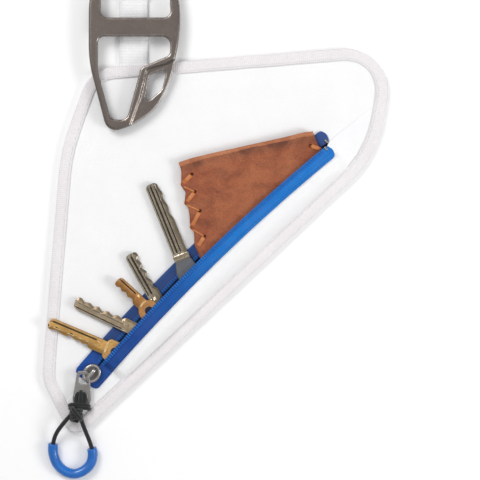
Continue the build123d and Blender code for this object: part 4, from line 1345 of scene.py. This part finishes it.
def key_collar(key):
    """The block where the long blade enters its plastic head."""
    hole, along, across = key_axes(key)
    path = [(Vector((*(hole + along * x), key["level"] + KEY_THICK / 2)), Vector((*across, 0)),
             Vector((0, 0, 1))) for x in (13.9, 14.2, 14.9, 15.0, 15.3, 15.4, 16.9, 17.3)]
    grown = [0.9, 1.0, 1.0, 0.93, 0.93, 1.0, 1.0, 0.9]
    profile = [(-4.7, -1.0), (-4.3, -1.4), (4.3, -1.4), (4.7, -1.0), (4.7, 1.0), (4.3, 1.4), (-4.3, 1.4),
               (-4.7, 1.0)]
    verts = []
    for (centre, side, up), scale in zip(path, grown):
        for a, b in profile:
            p = centre + side * (a * scale) + up * (b * scale)
            verts.append(at(p.x, p.y, p.z))
    size = len(profile)
    faces = grid_faces(len(path), size, wrap_columns=True)
    return verts, faces + [tuple(range(size)), tuple(range((len(path) - 1) * size, len(path) * size))]


def mark_grooves(obj, key):
    """Marks the milled grooves of a blade, for the painted shade in them."""
    hole, along, across = key_axes(key)
    recess = obj.data.attributes.new("recess", "FLOAT", "POINT")
    for vertex in obj.data.vertices:
        p = drawn(vertex.co).to_2d() - hole
        w = p.dot(across) + key["width"] / 2
        down = KEY_THICK / 2 - abs(vertex.co.z / MM - key["level"] - KEY_THICK / 2)
        in_groove = any(a < w < b for a, b, _ in key["grooves"]) and p.dot(along) > 12.0
        recess.data[vertex.index].value = smooth(down / 0.5) if in_groove else 0.0


def make_keys():
    for name, key in KEYS.items():
        if "bow" in key:
            parts = [key_blade(key, key["bow"] - 1.2), key_bow(key)]
        else:
            parts = [key_blade(key, 13.0), key_collar(key)]
        verts, faces = [], []
        for more_verts, more_faces in parts:
            faces += [tuple(len(verts) + k for k in face) for face in more_faces]
            verts += more_verts
        obj = piece(name + "_metal", verts, faces, MATERIAL[key["metal"]], name)
        obj.data.set_sharp_from_angle(angle=radians(28))
        mark_grooves(obj, key)
        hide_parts(name)


# ---- metal and plastic parts ------------------------------------------------------------------------
FORGED = [("carabiner_frame", "clip", "clip_metal"), ("carabiner_gate", "gate", "clip_metal"),
          ("slider_body", "slider", "zip_metal"), ("pull_tab", "pull", "pull_metal")]
EASED = [("gate_pin", "clip", "steel", "steel", 0.2),
         ("key_5_head", "key_5", "key_plastic", "key_plastic", 0.5)]
KEPT = {"gate_spring": "steel", "key_plate": "plate", "plate_rivets": "plate", "key_1_post": "plate",
        "key_2_post": "plate", "key_3_post": "plate", "key_4_post": "plate", "key_5_post": "plate"}


def make_bail():
    """The bright bar over the slider that the tab hangs on."""
    centre = zip_point(SLIDER_S)
    turn = zip_turn(SLIDER_S)
    along = Vector((cos(turn), sin(turn), 0))
    route = [Vector((*centre, z)) + along * x
             for x, z in ((-4.3, 6.2), (-4.3, 10.1), (3.4, 10.1), (3.4, 6.2))]
    line = spaced(filleted(route, [1.9, 1.9], steps=8), 0.3)
    side = Vector((-along.y, along.x, 0))
    path = [(p, side, side.cross(direction(line, i))) for i, p in enumerate(line)]
    obj = swept("slider_bail_bar", path, oval_profile(1.05, 0.85, 18), MATERIAL["zip_metal"], "slider")
    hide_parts("slider_bail")


def paint_shade_on_slider_face(obj):
    """Marks the slider's face inside its rim for painted shade and painted dark reflection under the bail."""
    turn = zip_turn(SLIDER_S)
    recess = obj.data.attributes.new("recess", "FLOAT", "POINT")
    for vertex in obj.data.vertices:
        p = drawn(vertex.co).to_2d() - zip_point(SLIDER_S)
        x, y = p.x * cos(turn) + p.y * sin(turn), p.y * cos(turn) - p.x * sin(turn)
        out = hypot(x / SLIDER_HALF[0], y / SLIDER_HALF[1])
        on_top = smooth((vertex.co.z / MM - 5.8) / 0.3)
        recess.data[vertex.index].value = 0.9 * smooth((0.8 - out) / 0.12) * on_top


# the thin web of the clip's lower right, between its ridge and its rim, and half its thickness
WEB_HALF = 1.25
WEB_OUTLINE = [(-41.4, 58.6), (-25.0, 67.2), (-20, 66), (-22, 50), (-32, 36), (-46, 26), (-50.3, 30.5),
               (-44.6, 46.2)]


def make_metal():
    make_bail()
    for node, body, slot_name in FORGED:
        big = node.startswith("carabiner")
        made = forged(node, MATERIAL[slot_name], body, 0.34 if big else 0.12, 24 if big else 5,
                      (WEB_OUTLINE, CLIP_MIDDLE, WEB_HALF) if node == "carabiner_frame" else None)
        if node == "slider_body":
            paint_shade_on_slider_face(made)
    for node, body, slot_name, material, width in EASED:
        softened(node, MATERIAL[material], body, width)
    for node, material in KEPT.items():
        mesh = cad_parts[node].data
        mesh.materials.clear()
        mesh.materials.append(MATERIAL[material])


# ---- floor, light and camera ------------------------------------------------------------------------
def make_studio():
    floor_mesh = bpy.data.meshes.new("floor")
    reach = 1.5
    floor_mesh.from_pydata([(-reach, -reach, 0), (reach, -reach, 0), (reach, reach, 0), (-reach, reach, 0)],
                           [], [(0, 1, 2, 3)])
    made, w, shader, where = start_material("floor paper", Specular_IOR_Level=0.1)
    tone = w.noise(where["Object"], 6.0, 3.0)
    w.feed(shader["Base Color"], w.blend(tone, tint(250, 250, 250), tint(252, 252, 252)))
    shader["Roughness"].default_value = 0.9
    floor_mesh.materials.append(made)
    placed_object("floor", floor_mesh)

    world = bpy.data.worlds.new("studio")
    world.use_nodes = True
    world.node_tree.nodes["Background"].inputs["Color"].default_value = (1.0, 1.0, 1.0, 1.0)
    world.node_tree.nodes["Background"].inputs["Strength"].default_value = 0.46
    bpy.context.scene.world = world
    for name, spot, size, power in (("key", (-0.45, 0.5, 0.75), 0.4, 4.8), ("top", (0.1, 0.0, 1.3), 0.9, 1.6),
                                    ("fill", (0.65, -0.2, 0.5), 0.3, 2.8)):
        data = bpy.data.lights.new(name, "AREA")
        data.size, data.energy = size, power
        lamp = placed_object(name, data)
        lamp.location = spot
        lamp.rotation_euler = (-Vector(spot)).to_track_quat("-Z", "Y").to_euler()

    view_width, distance = 268.8 * MM, 1.3
    lens = bpy.data.cameras.new("camera")
    lens.sensor_width = 36.0
    lens.lens = 36.0 * distance / view_width
    camera = placed_object("camera", lens)
    camera.location = (13.76 * MM, -32.2 * MM, distance + 5 * MM)
    bpy.context.scene.camera = camera
    bpy.context.scene.view_settings.view_transform = "Standard"


make_binding()
make_panels()
make_lining()
make_binding_stitches()
make_strap()
make_zip()
make_case()
make_lacing()
cord, grip, cord_length = make_cord()
on_the_cord = make_knot() + make_cord_wrap() + [grip]
make_keys()
make_metal()
make_studio()
